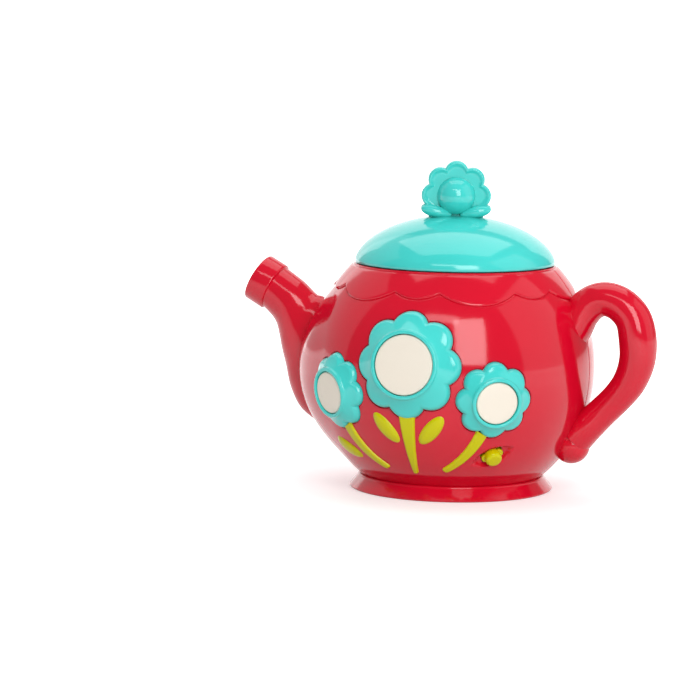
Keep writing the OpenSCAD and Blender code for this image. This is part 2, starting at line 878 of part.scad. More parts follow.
module rear_shell() {
    color(red) intersection() {
        half_space(1);
        difference() {
            union() {
                difference() {
                    outer_form();
                    inner_form();
                }
                well_ledge();
                shell_bosses(1);
                base_bosses();
                speaker_seat();
            }
            speaker_holes();
            shell_screw_holes(1);
            base_screw_holes();
            neck_holes();
        }
    }
}

// Base with the battery box

contact_room = 3.4;
cell_gap = 0.3;
box_wall = 1.6;
box_l = cell_l + 2 * contact_room;
box_w = 2 * cell_d + 3 * cell_gap;
deck_z = foot_h - foot_wall;
cell_z = deck_z + cell_gap + cell_d / 2;
box_top = deck_z + 2 * cell_gap + cell_d;
cell_y = (cell_d + cell_gap) / 2;
door_t = 1.8;
door_screw_x = box_l / 2 + 5.1;
door_screw_r = 1.2;
door_screw_bite = 6;
door_boss_r = 2.8;
door_boss_h = 8;
door_head_r = 2.4;
door_head_h = 1.2;
door_ear_r = 3.8;
door_ear_w = 6;
door_lip = 1.6;
main_post_h = 3;
main_post_r = 2.4;
main_board_z = box_top + box_wall + main_post_h;
main_edge = 4;
main_screw_bite = 3.6;
main_screw_x = main_board_l / 2 - main_edge;
main_screw_y = main_board_w / 2 - main_edge;
module main_screw_places(z) {
    for (x = [-1, 1]) for (y = [-1, 1]) translate([x * main_screw_x, y * main_screw_y, z]) children();
}
module door_screw_places(z) {
    for (x = [-1, 1]) translate([x * door_screw_x, 0, z]) children();
}

foot_round = 0.9;
foot_arc_step = 15;
function foot_arc(r, z, from, to) = [for (a = [from : foot_arc_step : to])
    [r - foot_round + foot_round * cos(a), z + foot_round * sin(a)]];
module foot_ring() {
    rotate_extrude() polygon(concat(
        foot_arc(foot_d / 2, foot_round, -90, 0),
        foot_arc(foot_top_d / 2, foot_h - foot_round, 0, 90),
        [[0, foot_h],
         [0, deck_z],
         [foot_top_d / 2 - foot_wall, deck_z],
         [foot_d / 2 - foot_wall, 0]]));
}

module base() {
    color(red) difference() {
        union() {
            foot_ring();
            translate([0, 0, deck_z])
                bar(box_l + 2 * box_wall, box_w + 2 * box_wall, box_top + box_wall - deck_z);
            door_screw_places(deck_z) cylinder(h = door_boss_h, r = door_boss_r);
            main_screw_places(deck_z) cylinder(h = main_board_z - deck_z, r = main_post_r);
        }
        translate([0, 0, deck_z - over]) bar(box_l, box_w, box_top - deck_z + over);
        door_screw_places(deck_z - over) cylinder(h = door_boss_h, r = door_screw_r + run_gap);
        main_screw_places(main_board_z - main_screw_bite - bite_gap)
            cylinder(h = main_screw_bite + over, r = board_screw_r + bite_gap);
        base_screw_places() translate([0, 0, -foot_wall - over])
            cylinder(h = foot_wall + 2 * over, r = base_screw_r + pass_gap);
    }
}

module battery_door() {
    color(red) translate([0, 0, deck_z - door_t - run_gap]) difference() {
        union() {
            bar(box_l + 2 * door_lip, box_w + 2 * door_lip, door_t);
            door_screw_places(0) cylinder(h = door_t, r = door_ear_r);
            bar(2 * door_screw_x, door_ear_w, door_t);
        }
        door_screw_places(-over) cylinder(h = door_t + 2 * over, r = door_screw_r + bite_gap);
    }
}

module door_screws() {
    color(steel) door_screw_places(deck_z - door_t - run_gap)
        screw(door_screw_r, door_t + door_screw_bite, door_head_r, door_head_h);
}

cell_nub_r = 2.6;
cell_nub_l = 1.2;
module cell(side) {
    color(black) translate([0, side * cell_y, cell_z]) rotate([0, side * 90, 0]) {
        translate([0, 0, -cell_l / 2]) cylinder(h = cell_l - cell_nub_l, d = cell_d);
        translate([0, 0, -cell_l / 2]) cylinder(h = cell_l, r = cell_nub_r);
    }
}

plate_t = 0.5;
plate_w = 10;
stud_r = 2;
spring_r = 3.2;
spring_wire_r = 0.3;
spring_turns = 2;
module contact_plates() {
    color(steel) for (end = [-1, 1]) translate([end * (box_l / 2 - plate_t / 2), 0, cell_z]) {
        for (side = [-1, 1]) translate([0, side * cell_y, 0])
            cube([plate_t, plate_w, plate_w], center = true);
        if (end < 0) cube([plate_t, 2 * cell_y, plate_w / 2], center = true);
    }
    color(steel) for (side = [-1, 1]) translate([side * (box_l / 2 - plate_t), side * cell_y, cell_z])
        rotate([0, -side * 90, 0]) cylinder(h = contact_room - plate_t - seat_gap, r = stud_r);
}

spring_steps = 12;
function spring_point(k) = let(t = k / (spring_turns * spring_steps))
    [spring_r * cos(360 * spring_turns * t), spring_r * sin(360 * spring_turns * t),
     spring_wire_r + t * (contact_room - plate_t - 2 * spring_wire_r - 2 * seat_gap) + seat_gap];
spring_path = [for (k = [0 : spring_turns * spring_steps]) spring_point(k)];
spring_sides = 6;
function spring_ring(i) = let(p = spring_path, t = along(p, i),
    u = unit(cross(t, [0, 0, 1])), v = cross(t, u))
    [for (j = [0 : spring_sides - 1]) let(a = -360 * j / spring_sides)
        p[i] + spring_wire_r * (cos(a) * u + sin(a) * v)];
module contact_springs() {
    color(steel) for (side = [-1, 1])
        translate([-side * (box_l / 2 - plate_t), side * cell_y, cell_z]) rotate([0, side * 90, 0])
            skin([for (i = [0 : len(spring_path) - 1]) spring_ring(i)]);
}

module main_board() {
    color(board_green) translate([0, 0, main_board_z]) difference() {
        bar(main_board_l, main_board_w, board_t);
        main_screw_places(-over) cylinder(h = board_t + 2 * over, r = board_screw_r + pass_gap);
    }
}

chip_r = 5;
chip_h = 2;
module sound_chip() {
    cap_r = (chip_r * chip_r + chip_h * chip_h) / (2 * chip_h);
    color(black) translate([0, 0, main_board_z + board_t]) difference() {
        translate([0, 0, chip_h - cap_r]) sphere(cap_r);
        translate([-far / 2, -far / 2, -far]) cube(far);
    }
}

module main_board_screws() {
    color(steel) main_screw_places(main_board_z + board_t) rotate([180, 0, 0])
        screw(board_screw_r, board_t + main_screw_bite, board_head_r, board_head_h);
}

// Spout, as sections [distance out from the ball, height over its centre, tilt, half height, half width]

spout_sections = [
    [-9, -4, 12, 29, 14],
    [-0.5, 0.3, 18, 27, 13],
    [4.7, 5.5, 22, 23.2, 12.2],
    [8, 11.5, 26, 18.6, 11.6],
    [10.6, 15.6, 29, 15.5, 11.2],
    [15.2, 24.5, 31, 11.6, 10.7],
    [22.8, 31, 28.5, 10.4, 10.4]
];
spout_steps = 3;
spout_sides = 32;
spout_path = smooth_path(spout_sections, spout_steps);
spout_end = spout_sections[len(spout_sections) - 1];
spout_hollow_from = 9;
function spout_ring(s, inset) = [for (j = [0 : spout_sides - 1]) let(a = 360 * j / spout_sides,
    up = (s[3] - inset) * cos(a), out = (s[4] - inset) * sin(a))
    [-(body_r + s[0]) + up * sin(s[2]), -out, body_centre_z + s[1] + up * cos(s[2])]];

module spout_loft(from, inset) {
    skin([for (i = [from : len(spout_path) - 1]) spout_ring(spout_path[i], inset)]);
}

module at_spout_end() {
    translate([-(body_r + spout_end[0]), 0, body_centre_z + spout_end[1]])
        rotate([0, spout_end[2] - 90, 0]) children();
}

spigot_l = 4;
spigot_wall = 1.4;
module spout() {
    color(red) {
        difference() {
            spout_loft(0, 0);
            spout_loft(spout_hollow_from, spout_wall);
            at_spout_end() translate([0, 0, -spigot_l - over])
                cylinder(h = spigot_l + 2 * over, r = spout_end[4] - spigot_wall);
            at_centre() sphere(body_r + seat_gap);
            swelling(seat_gap);
        }
        mirror([1, 0, 0]) translate([0, 0, swell_z])
            neck(spout_flange_x, spout_neck_reach, spout_neck_d / 2);
    }
}

tip_round = 1.6;
tip_arc_step = 15;
spigot_r = spout_end[4] - spigot_wall - seat_gap;
function tip_arc(z, from, to) = [for (a = [from : tip_arc_step : to])
    [tip_d / 2 - tip_round + tip_round * cos(a), z + tip_round * sin(a)]];
module spout_tip() {
    color(red) at_spout_end() difference() {
        union() {
            rotate_extrude() polygon(concat(
                [[0, 0]],
                tip_arc(tip_round, -90, 0),
                tip_arc(tip_l - tip_round, 0, 90),
                [[0, tip_l]]));
            translate([0, 0, -spigot_l]) cylinder(h = spigot_l + over, r = spigot_r);
        }
        translate([0, 0, tip_l - tip_mouth_depth]) cylinder(h = tip_l, d = tip_mouth_d);
        translate([0, 0, -spigot_l - over]) cylinder(h = spigot_l + over, r = spigot_r - spout_wall);
    }
}

// Handle: a straight root, an upper and an outer bend, a taper and a lower bend, each tangent to the next.
// Neighbours lap and differ by a small step in radius, so that no two of their skins coincide.

handle_r = handle_d / 2;
handle_low_r = handle_low_d / 2;
handle_step = 0.15;
handle_lap = 1;
crook_centre = [body_r + 7.3, body_centre_z + 19.9];
crook_from = 158;
crook_to = 26.5;
back_to = -42;
under_to = -64;
back_lap_angle = 3;
root_l = 13;
taper_l = 7;
heel_out = -7.7;
heel_dz = -33.5;
function ray(angle) = [cos(angle), sin(angle)];
function clockwise(angle) = [sin(angle), -cos(angle)];
root_start = crook_centre + crook_r * ray(crook_from) - root_l * clockwise(crook_from);
back_centre = crook_centre - (back_r - crook_r) * ray(crook_to);
taper_start = back_centre + back_r * ray(back_to);
under_centre = taper_start + taper_l * clockwise(back_to) - under_r * ray(back_to);

module bend(centre, bend_r, from, to, tube_r) {
    translate(centre) rotate([0, 0, to]) rotate_extrude(angle = from - to) translate([bend_r, 0])
        circle(tube_r);
}

// Runs clockwise from a start point, square to the ray of the given angle.
module straight(start, angle) {
    translate(start) rotate([0, 0, angle]) rotate([90, 0, 0]) children();
}

module handle_form(inset) {
    tube_r = handle_r - inset;
    low_r = handle_low_r - inset;
    rotate([90, 0, 0]) {
        straight(root_start, crook_from) cylinder(h = root_l + handle_lap, r = tube_r - handle_step);
        bend(crook_centre, crook_r, crook_from, crook_to, tube_r);
        bend(back_centre, back_r, crook_to + back_lap_angle, back_to, tube_r + handle_step);
        straight(taper_start, back_to) translate([0, 0, -handle_lap])
            cylinder(h = taper_l + 2 * handle_lap, r1 = tube_r, r2 = low_r + handle_step);
        bend(under_centre, under_r, back_to, under_to, low_r);
    }
}

upper_neck_bite = 5;
lower_neck_bite = 3;
module handle_front() {
    color(red) intersection() {
        half_space(-1);
        union() {
            difference() {
                union() {
                    difference() {
                        handle_form(0);
                        handle_form(handle_wall);
                    }
                    translate([body_r + heel_out, 0, body_centre_z + heel_dz]) sphere(d = heel_d);
                }
                outer_form(seat_gap);
            }
            translate([0, 0, body_centre_z + handle_upper_dz])
                neck(flange_x(handle_upper_dz, handle_flange_r),
                     chord(body_r, handle_upper_dz) + upper_neck_bite, handle_neck_d / 2);
            translate([0, 0, body_centre_z + handle_lower_dz])
                neck(flange_x(handle_lower_dz, handle_flange_r),
                     body_r + heel_out + lower_neck_bite, handle_neck_d / 2);
        }
    }
}

module handle_rear() {
    mirror([0, 1, 0]) handle_front();
}

// Lid

lid_r = lid_d / 2;
lid_z = mouth_z + run_gap;
lid_curve = 1.16;
seat_r = 12;
liner_t = 1.8;
skirt_l = 6;
skirt_wall = 1.8;
liner_post_r = 4;
liner_room = 0.6;
knob_head_depth = 2.6;
knob_head_h = 2;
knob_screw_r = 1.5;
knob_screw_head_r = 2.8;
lid_rings = 15;
seat_angle = acos(seat_r / lid_r);
function lid_outline(inset) = [for (k = [0 : lid_rings]) let(a = seat_angle * k / lid_rings)
    [(lid_r - inset) * cos(a), lid_z + (lid_rise - inset) * pow(sin(a), lid_curve)]];
seat_z = lid_z + lid_rise * pow(sin(seat_angle), lid_curve);
skirt_r = well_r - well_wall - run_gap;

module lid_dome() {
    outline = lid_outline(0);
    inside = lid_outline(lid_wall);
    color(teal) rotate_extrude() polygon(concat(
        outline,
        [[knob_screw_r + pass_gap, seat_z], [knob_screw_r + pass_gap, seat_z - lid_wall]],
        [for (k = [lid_rings : -1 : 0]) inside[k]]));
}

module lid_liner() {
    color(teal) difference() {
        union() {
            translate([0, 0, lid_z]) cylinder(h = liner_t, r = lid_r - lid_wall - liner_room);
            translate([0, 0, lid_z - skirt_l]) difference() {
                cylinder(h = skirt_l, r = skirt_r);
                translate([0, 0, -over]) cylinder(h = skirt_l + over, r = skirt_r - skirt_wall);
            }
            translate([0, 0, lid_z]) cylinder(h = seat_z - lid_wall - lid_z, r = liner_post_r);
        }
        translate([0, 0, lid_z - over]) cylinder(h = far, r = knob_screw_r + pass_gap);
        translate([0, 0, lid_z - over])
            cylinder(h = knob_head_depth + over, r = knob_screw_head_r + head_gap);
    }
}

knob_screw_bite = 9;
module knob_screw() {
    head_seat = lid_z + knob_head_depth;
    color(steel) translate([0, 0, head_seat])
        screw(knob_screw_r, seat_z + knob_screw_bite - head_seat, knob_screw_head_r, knob_head_h);
}

// A spindle along x, round about its own axis, for the two leaves at the knob's foot.
knob_leaf_l = 14;
knob_leaf_d = 5.2;
knob_leaf_slope = 10;
knob_leaf_x = 9.4;
knob_leaf_out = 0.6;
knob_leaf_sink = 0.2;
knob_ball_sink = 1.7;
module spindle() {
    rotate([0, 90, 0]) rotate_extrude() polygon([for (a = [-90 : 10 : 90])
        [knob_leaf_d / 2 * cos(a), knob_leaf_l / 2 * sin(a)]]);
}

module lid_knob() {
    knob_z = seat_z + knob_lift;
    leaf_y = knob_flower_t / 2 + knob_leaf_out;
    leaf_z = seat_z + knob_leaf_d / 2 - knob_leaf_sink;
    color(teal) rotate([0, 0, lid_turn]) difference() {
        union() {
            translate([0, 0, knob_z]) rotate([90, 0, 0]) linear_extrude(knob_flower_t, center = true)
                flower_outline(knob_flower_d / 2, knob_petal_r);
            for (y = [-1, 1]) translate([0, y * (knob_flower_t / 2 - knob_ball_sink), knob_z])
                sphere(knob_ball_r);
            for (x = [-1, 1]) for (y = [-1, 1]) translate([x * knob_leaf_x, y * leaf_y, leaf_z])
                rotate([0, -x * knob_leaf_slope, 0]) spindle();
        }
        translate([-far / 2, -far / 2, seat_z - far]) cube(far);
        translate([0, 0, seat_z - over])
            cylinder(h = knob_screw_bite + 1.5 * over, r = knob_screw_r + bite_gap);
    }
}

// Wires between the boards, the speaker and the battery contacts

main_top = main_board_z + board_t;
lead_end = 3;
// The place of a point that is given in the frame of a turn and a lift.
function body_point(turn, lift, v) = let(tip = 90 - lift,
    y = v[1] * cos(tip) - v[2] * sin(tip), z = v[1] * sin(tip) + v[2] * cos(tip))
    [v[0] * cos(turn) - y * sin(turn), v[0] * sin(turn) + y * cos(turn), body_centre_z + z];
// A lead leaves the main board upwards at x, y and meets a face of a piece at right angles.
function board_end(x, y) = [for (k = [0, 0.5, 1]) [x, y, main_top + seat_gap + k * lead_end]];
function skin_end(turn, lift, x, y, r) = [for (k = [1, 0.5, 0])
    body_point(turn, lift, [x, y, r - seat_gap - k * lead_end])];

lead_pitch = 3;
flange_mid_r = speaker_r - basket_wall / 2;
speaker_leads_routes = [for (x = [-1, 1] * lead_pitch) concat(
    board_end(x, main_board_w / 2 - lead_pitch),
    [[x, main_board_w, main_top + 2 * lead_end]],
    skin_end(180, speaker_lift, -x, -flange_mid_r, speaker_face - flange_t))];
function button_route(spec, x) = concat(
    board_end(x, -main_board_w / 2 + lead_pitch),
    [[2 * x, -main_board_w * 0.8, (main_top + body_centre_z) / 2]],
    skin_end(spec[0], spec[1], 0, 0, body_r - barrel_depth - board_t));
lead_clear = 1.5;
switch_lead_x = main_screw_x - board_head_r - wire_r - lead_clear;
button_lead_x = switch_lead_x - 2 * lead_pitch;
button_leads_routes = [
    button_route(centre_spec, 0),
    button_route(left_spec, -button_lead_x),
    button_route(right_spec, button_lead_x)];
switch_leads_routes = [concat(
    board_end(switch_lead_x, -main_board_w / 2 + lead_pitch),
    skin_end(switch_turn, switch_lift, 0, 0, switch_low - board_t))];
// The battery leads climb beside the box, clear of the board's edge.
battery_lead_x = max(box_l / 2 + box_wall + wire_r + seat_gap, main_board_l / 2 + wire_r + lead_clear);
battery_leads_routes = [for (side = [-1, 1]) [
    [battery_lead_x, side * cell_y, box_top - lead_end],
    [battery_lead_x, side * cell_y, box_top + box_wall],
    [battery_lead_x, side * cell_y, main_board_z],
    [battery_lead_x - lead_end / 2, side * cell_y, main_top + lead_end],
    [main_board_l / 2 - lead_pitch, side * cell_y, main_top + lead_end],
    [main_board_l / 2 - lead_pitch, side * cell_y, main_top + lead_end / 2],
    [main_board_l / 2 - lead_pitch, side * cell_y, main_top + seat_gap]]];
module leads(routes, tint) {
    color(tint) for (route = routes) wire(route);
}

module speaker_leads() { leads(speaker_leads_routes, red); }
module button_leads() { leads(button_leads_routes, black); }
module switch_leads() { leads(switch_leads_routes, black); }
module battery_leads() { leads(battery_leads_routes, red); }

front_shell();
rear_shell();
base();
tea_well();
spout();
spout_tip();
handle_front();
handle_rear();
flower(centre_spec);  // centre_flower
flower(left_spec);  // left_flower
flower(right_spec);  // right_flower
centre_stem();
side_stem(-1, left_spec);  // left_stem
side_stem(1, right_spec);  // right_stem
centre_leaf(-1);  // centre_left_leaf
centre_leaf(1);  // centre_right_leaf
left_leaf();
button(centre_spec);  // centre_button
button(left_spec);  // left_button
button(right_spec);  // right_button
press_dome(centre_spec);  // centre_dome
press_dome(left_spec);  // left_dome
press_dome(right_spec);  // right_dome
button_board(centre_spec);  // centre_button_board
button_board(left_spec);  // left_button_board
button_board(right_spec);  // right_button_board
button_board_screws();
switch_slider();
switch_body();
switch_board();
switch_screws();
lid_dome();
lid_liner();
lid_knob();
knob_screw();
speaker_basket();
speaker_cone();
speaker_magnet();
speaker_screws();
main_board();
sound_chip();
main_board_screws();
cell(-1);  // front_cell
cell(1);  // rear_cell
contact_plates();
contact_springs();
battery_door();
door_screws();
base_screws();
shell_screws();
speaker_leads();
button_leads();
switch_leads();
battery_leads();
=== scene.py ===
# %% [markdown]
# # A toy teapot with flower buttons
# The teapot is a round moulded body with a lid, a spout, an ear-shaped handle and three flowers
# whose pale middles are push buttons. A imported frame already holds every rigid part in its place,
# in metres. This lesson loads that frame, models the visible parts again with soft edges and
# curved walls, and gives each part a finish.

# %% Load the frame
import math

import bmesh
import bpy
from mathutils import Matrix, Vector


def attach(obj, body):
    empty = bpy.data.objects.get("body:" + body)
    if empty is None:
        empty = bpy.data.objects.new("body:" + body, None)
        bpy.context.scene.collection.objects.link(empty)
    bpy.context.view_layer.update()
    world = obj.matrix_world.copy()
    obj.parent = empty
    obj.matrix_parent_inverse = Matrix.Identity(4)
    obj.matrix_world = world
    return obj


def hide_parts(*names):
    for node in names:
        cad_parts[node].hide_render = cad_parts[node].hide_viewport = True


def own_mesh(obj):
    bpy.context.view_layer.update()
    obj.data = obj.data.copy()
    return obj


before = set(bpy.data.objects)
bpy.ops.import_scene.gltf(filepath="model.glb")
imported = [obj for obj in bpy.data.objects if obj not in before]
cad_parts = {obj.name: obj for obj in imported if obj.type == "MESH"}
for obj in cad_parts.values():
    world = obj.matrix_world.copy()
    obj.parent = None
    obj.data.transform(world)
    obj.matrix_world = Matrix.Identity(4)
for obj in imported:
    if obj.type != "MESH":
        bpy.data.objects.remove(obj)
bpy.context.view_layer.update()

# %% [markdown]
# ## Camera
# A long lens a little right of the front and slightly above the table keeps the ball round.
# The target sits right of the middle of the picture, so the camera is turned off it by the angle
# of that offset, which needs no lens shift.

# %% Camera
MM = 0.001
IMAGE_SIDE = 700
AIM = Vector((0, 0, 75 * MM))
AIM_OFFSET = (103.8, 25.8)
FOCAL_PIXELS = 3497
CAMERA_DISTANCE = 1.6
CAMERA_ANGLES = (18.5, 6.55, 1.1)
SENSOR_WIDTH = 36
azimuth, elevation, roll = (math.radians(a) for a in CAMERA_ANGLES)

back = Vector((math.sin(azimuth) * math.cos(elevation),
               -math.cos(azimuth) * math.cos(elevation), math.sin(elevation)))
level = Vector((math.cos(azimuth), math.sin(azimuth), 0))
upward = back.cross(level)
axis_x = math.cos(roll) * level + math.sin(roll) * upward
axis_y = math.cos(roll) * upward - math.sin(roll) * level
facing = Matrix((axis_x, axis_y, back)).transposed()
off_middle = Vector((*AIM_OFFSET, -FOCAL_PIXELS)).rotation_difference(Vector((0, 0, -1)))

lens = bpy.data.cameras.new("camera")
lens.sensor_width = SENSOR_WIDTH
lens.lens = lens.sensor_width * FOCAL_PIXELS / IMAGE_SIDE
camera = bpy.data.objects.new("camera", lens)
camera.matrix_world = (Matrix.Translation(AIM + back * CAMERA_DISTANCE)
                       @ (facing @ off_middle.to_matrix()).to_4x4())
bpy.context.scene.collection.objects.link(camera)
bpy.context.scene.camera = camera
print("camera: lens", round(lens.lens, 1), "mm")

# %% [markdown]
# ## Moulded plastics
# Every coloured part is injection-moulded plastic. Its pigment drifts a little from place to
# place, polished tool steel leaves a gloss that is not quite even, and the skin has a faint
# ripple. One recipe with three noise patterns gives all of that, so each colour only needs numbers.

# %% Plastic recipe
NOISE_LOW, NOISE_HIGH = 0.3, 0.7
DRIFT_SCALE, SHEEN_SCALE = 22, 75
LEAST_GLOSS, MOST_GLOSS = 0.85, 1.2
RIPPLE_DEPTH = 0.2


def linear(red, green, blue):
    """A colour given in the 0 to 255 steps of a picture, as the shader wants it."""
    steps = [c / 255 for c in (red, green, blue)]
    return [c / 12.92 if c <= 0.04045 else ((c + 0.055) / 1.055) ** 2.4 for c in steps] + [1]


def moulded(name, tint, deep_tint, gloss, ripple=0.03, ripple_scale=420, specular=0.5):
    """A plastic whose pigment runs from deep_tint to tint; gloss is the middle of its roughness."""
    finish = bpy.data.materials.new(name + "_finish")
    finish["slot"] = name
    finish.use_nodes = True
    nodes, links = finish.node_tree.nodes, finish.node_tree.links
    shader = nodes["Principled BSDF"]
    shader.inputs["Specular IOR Level"].default_value = specular
    place = nodes.new("ShaderNodeTexCoord")
    drift, sheen, skin = (nodes.new("ShaderNodeTexNoise") for _ in range(3))
    for noise, scale, detail in ((drift, DRIFT_SCALE, 3), (sheen, SHEEN_SCALE, 4), (skin, ripple_scale, 2)):
        noise.inputs["Scale"].default_value = scale
        noise.inputs["Detail"].default_value = detail
        links.new(place.outputs["Object"], noise.inputs["Vector"])
    pigment = nodes.new("ShaderNodeValToRGB")
    stops = pigment.color_ramp.elements
    for stop, position, colour in zip(stops, (NOISE_LOW, NOISE_HIGH), (deep_tint, tint)):
        stop.position, stop.color = position, linear(*colour)
    links.new(drift.outputs["Fac"], pigment.inputs["Fac"])
    links.new(pigment.outputs["Color"], shader.inputs["Base Color"])
    spread = nodes.new("ShaderNodeMapRange")
    for socket, value in (("From Min", NOISE_LOW), ("From Max", NOISE_HIGH),
                          ("To Min", gloss * LEAST_GLOSS), ("To Max", gloss * MOST_GLOSS)):
        spread.inputs[socket].default_value = value
    links.new(sheen.outputs["Fac"], spread.inputs["Value"])
    links.new(spread.outputs["Result"], shader.inputs["Roughness"])
    bump = nodes.new("ShaderNodeBump")
    bump.inputs["Strength"].default_value = ripple
    bump.inputs["Distance"].default_value = RIPPLE_DEPTH * MM
    links.new(skin.outputs["Fac"], bump.inputs["Height"])
    links.new(bump.outputs["Normal"], shader.inputs["Normal"])
    return finish


red_shell = moulded("red_shell", (214, 10, 42), (206, 7, 38), 0.1, specular=0.42)
teal_gloss = moulded("teal_gloss", (70, 211, 204), (62, 205, 198), 0.1)
lime_gloss = moulded("lime_gloss", (207, 202, 0), (200, 196, 0), 0.16, specular=0.22)
cream_cap = moulded("cream_cap", (240, 231, 216), (236, 226, 210), 0.5, 0.12, 1500)
press_rubber = moulded("press_rubber", (205, 205, 198), (190, 190, 184), 0.6, 0.2, 900)
print("plastics:", [m.name for m in (red_shell, teal_gloss, lime_gloss, cream_cap, press_rubber)])

# %% [markdown]
# ## Places on the ball
# The body is a ball, so a place on it is given like a place on a globe: turn, in degrees from
# the front towards the handle, and lift, in degrees above the ball's middle. Each flower, stem and
# leaf is modelled flat in its own frame, where local z leaves the ball.

# %% Ball frames
BALL_R = 65
BALL_Z = 56.5


def heading(turn, lift):
    """The direction from the ball's middle to a place on its skin."""
    turn, lift = math.radians(turn), math.radians(lift)
    return Vector((math.cos(lift) * math.sin(turn), -math.cos(lift) * math.cos(turn), math.sin(lift)))


def on_ball(turn, lift, roll=0):
    """The frame of a place on the ball, in millimetres."""
    return (Matrix.Translation((0, 0, BALL_Z)) @ Matrix.Rotation(math.radians(turn), 4, "Z")
            @ Matrix.Rotation(math.radians(90 - lift), 4, "X")
            @ Matrix.Rotation(math.radians(roll), 4, "Z"))


def cap_height(x, y, raised):
    """How far along local z the ball's skin lies at x, y, when it is raised by some millimetres."""
    return math.sqrt((BALL_R + raised) ** 2 - x * x - y * y)


print("front of the ball at", [round(c, 1) for c in Vector((0, 0, BALL_Z)) + BALL_R * heading(0, 0)])

# %% [markdown]
# ## Two ways to make a skin
# Most parts here are either turned round an axis, as on a lathe, or they are a sheet that is
# bent into shape. The first is a profile and bmesh's spin. The second is a grid whose points are
# moved to where a formula wants them.

# %% Sheets and turned parts
MERGE = 1e-7


def bent_sheet(columns, rows, place):
    """A grid whose point at column i and row j goes to place(i, j), in millimetres."""
    bm = bmesh.new()
    bmesh.ops.create_grid(bm, x_segments=columns, y_segments=rows, size=0.5)
    for v in bm.verts:
        i, j = round((v.co.x + 0.5) * columns), round((v.co.y + 0.5) * rows)
        v.co = Vector(place(i, j)) * MM
    bmesh.ops.remove_doubles(bm, verts=bm.verts, dist=MERGE)
    return bm


def turned(profile, place=Matrix(), steps=96):
    """A profile of (radius, height) points, turned round local z."""
    bm = bmesh.new()
    points = [bm.verts.new((r, 0, z)) for r, z in profile]
    edges = [bm.edges.new(pair) for pair in zip(points, points[1:])]
    bmesh.ops.spin(bm, geom=points + edges, cent=(0, 0, 0), axis=(0, 0, 1),
                   angle=2 * math.pi, steps=steps, use_merge=True)
    bmesh.ops.transform(bm, matrix=Matrix.Scale(MM, 4) @ place, verts=bm.verts)
    bmesh.ops.remove_doubles(bm, verts=bm.verts, dist=MERGE)
    return bm


def face_outwards(bm, inside=None):
    """Points all faces the same way; for an open sheet, away from a point inside."""
    bmesh.ops.recalc_face_normals(bm, faces=bm.faces)
    if inside is not None:
        away = sum((f.calc_center_median() - Vector(inside) * MM).dot(f.normal) for f in bm.faces)
        if away < 0:
            bmesh.ops.reverse_faces(bm, faces=bm.faces)
    return bm


def joined(*parts):
    """Several meshes as one."""
    whole = parts[0]
    for part in parts[1:]:
        loose = bpy.data.meshes.new("loose")
        part.to_mesh(loose)
        whole.from_mesh(loose)
        part.free()
        bpy.data.meshes.remove(loose)
    return whole


print("sheets and turned parts: points closer than", MERGE, "m are merged")

# %% [markdown]
# ## From a mesh to a finished piece
# A mesh becomes an object, may get a wall or a cut, and is then dressed: smooth shading, a finish,
# and the body of the frame that it rides on. Modifiers are applied at once, so that a later cut works
# on the wall that an earlier step gave.

# %% Walls, cuts and finished pieces
CREASE = 38


def apply_modifiers(piece):
    """Puts what the modifiers make into the piece's own mesh."""
    evaluated = piece.evaluated_get(bpy.context.evaluated_depsgraph_get())
    old = piece.data
    piece.data = bpy.data.meshes.new_from_object(evaluated)
    piece.modifiers.clear()
    bpy.data.meshes.remove(old)


def as_object(name, bm):
    mesh = bpy.data.meshes.new(name)
    bm.to_mesh(mesh)
    bm.free()
    piece = bpy.data.objects.new(name, mesh)
    bpy.context.scene.collection.objects.link(piece)
    return piece


def thicken(piece, wall):
    """Gives a sheet a wall on its inner side."""
    solid = piece.modifiers.new("wall", "SOLIDIFY")
    solid.thickness = wall * MM
    solid.offset = -1
    solid.use_even_offset = True
    apply_modifiers(piece)


def carve(piece, cutter):
    """Cuts a closed mesh out of a piece."""
    tool = as_object("cutter", cutter)
    cut = piece.modifiers.new("cut", "BOOLEAN")
    cut.operation, cut.solver, cut.object = "DIFFERENCE", "EXACT", tool
    apply_modifiers(piece)
    bpy.data.objects.remove(tool)


def dress(piece, finish, body, replaced=(), crease=CREASE):
    """Smooth shading with sharp corners kept, a finish, a body to ride on and the nodes it stands for."""
    piece.data.materials.clear()
    piece.data.materials.append(finish)
    piece.data.shade_smooth()
    piece.data.set_sharp_from_angle(angle=math.radians(crease))
    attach(piece, body)
    if replaced:
        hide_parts(*replaced)
    print(piece.name, len(piece.data.polygons), "faces")
    return piece


print("corners sharper than", CREASE, "degrees stay sharp unless a piece says otherwise")

# %% [markdown]
# ## Body shells
# Two moulded halves meet on a seam through spout and handle. The skin is a ball that swells
# softly towards the spout, with a raised collar whose edge hangs in wide and narrow scallops. A grid
# in turn and lift is the natural sheet: its rows can follow the scalloped edge exactly, so that
# the small step there stays crisp.

# %% Form of the skin
SWELL_R = 44
SWELL = Vector((-28.5, 0, -2.5))
SWELL_BLEND = 6
FOOT_TOP = 6.5
MOUTH_Z = 103
# Turn, lift of the lowest point and radius of each lobe.
LOBES = [(60 * k, 32.8, 16) for k in range(6)] + [(60 * k + 30, 30.4, 22.5) for k in range(6)]
LOW_LIFT = math.degrees(math.asin((FOOT_TOP - BALL_Z) / BALL_R))


def smooth_max(a, b, blend):
    near = max(blend - abs(a - b), 0) / blend
    return max(a, b) + near * near * blend / 4


def skin_radius(way):
    """Distance from the ball's middle to the skin: the ball, blended with the swelling."""
    along = way.dot(SWELL)
    swelling = along + math.sqrt(along * along - SWELL.length_squared + SWELL_R ** 2)
    return smooth_max(BALL_R, swelling, SWELL_BLEND)


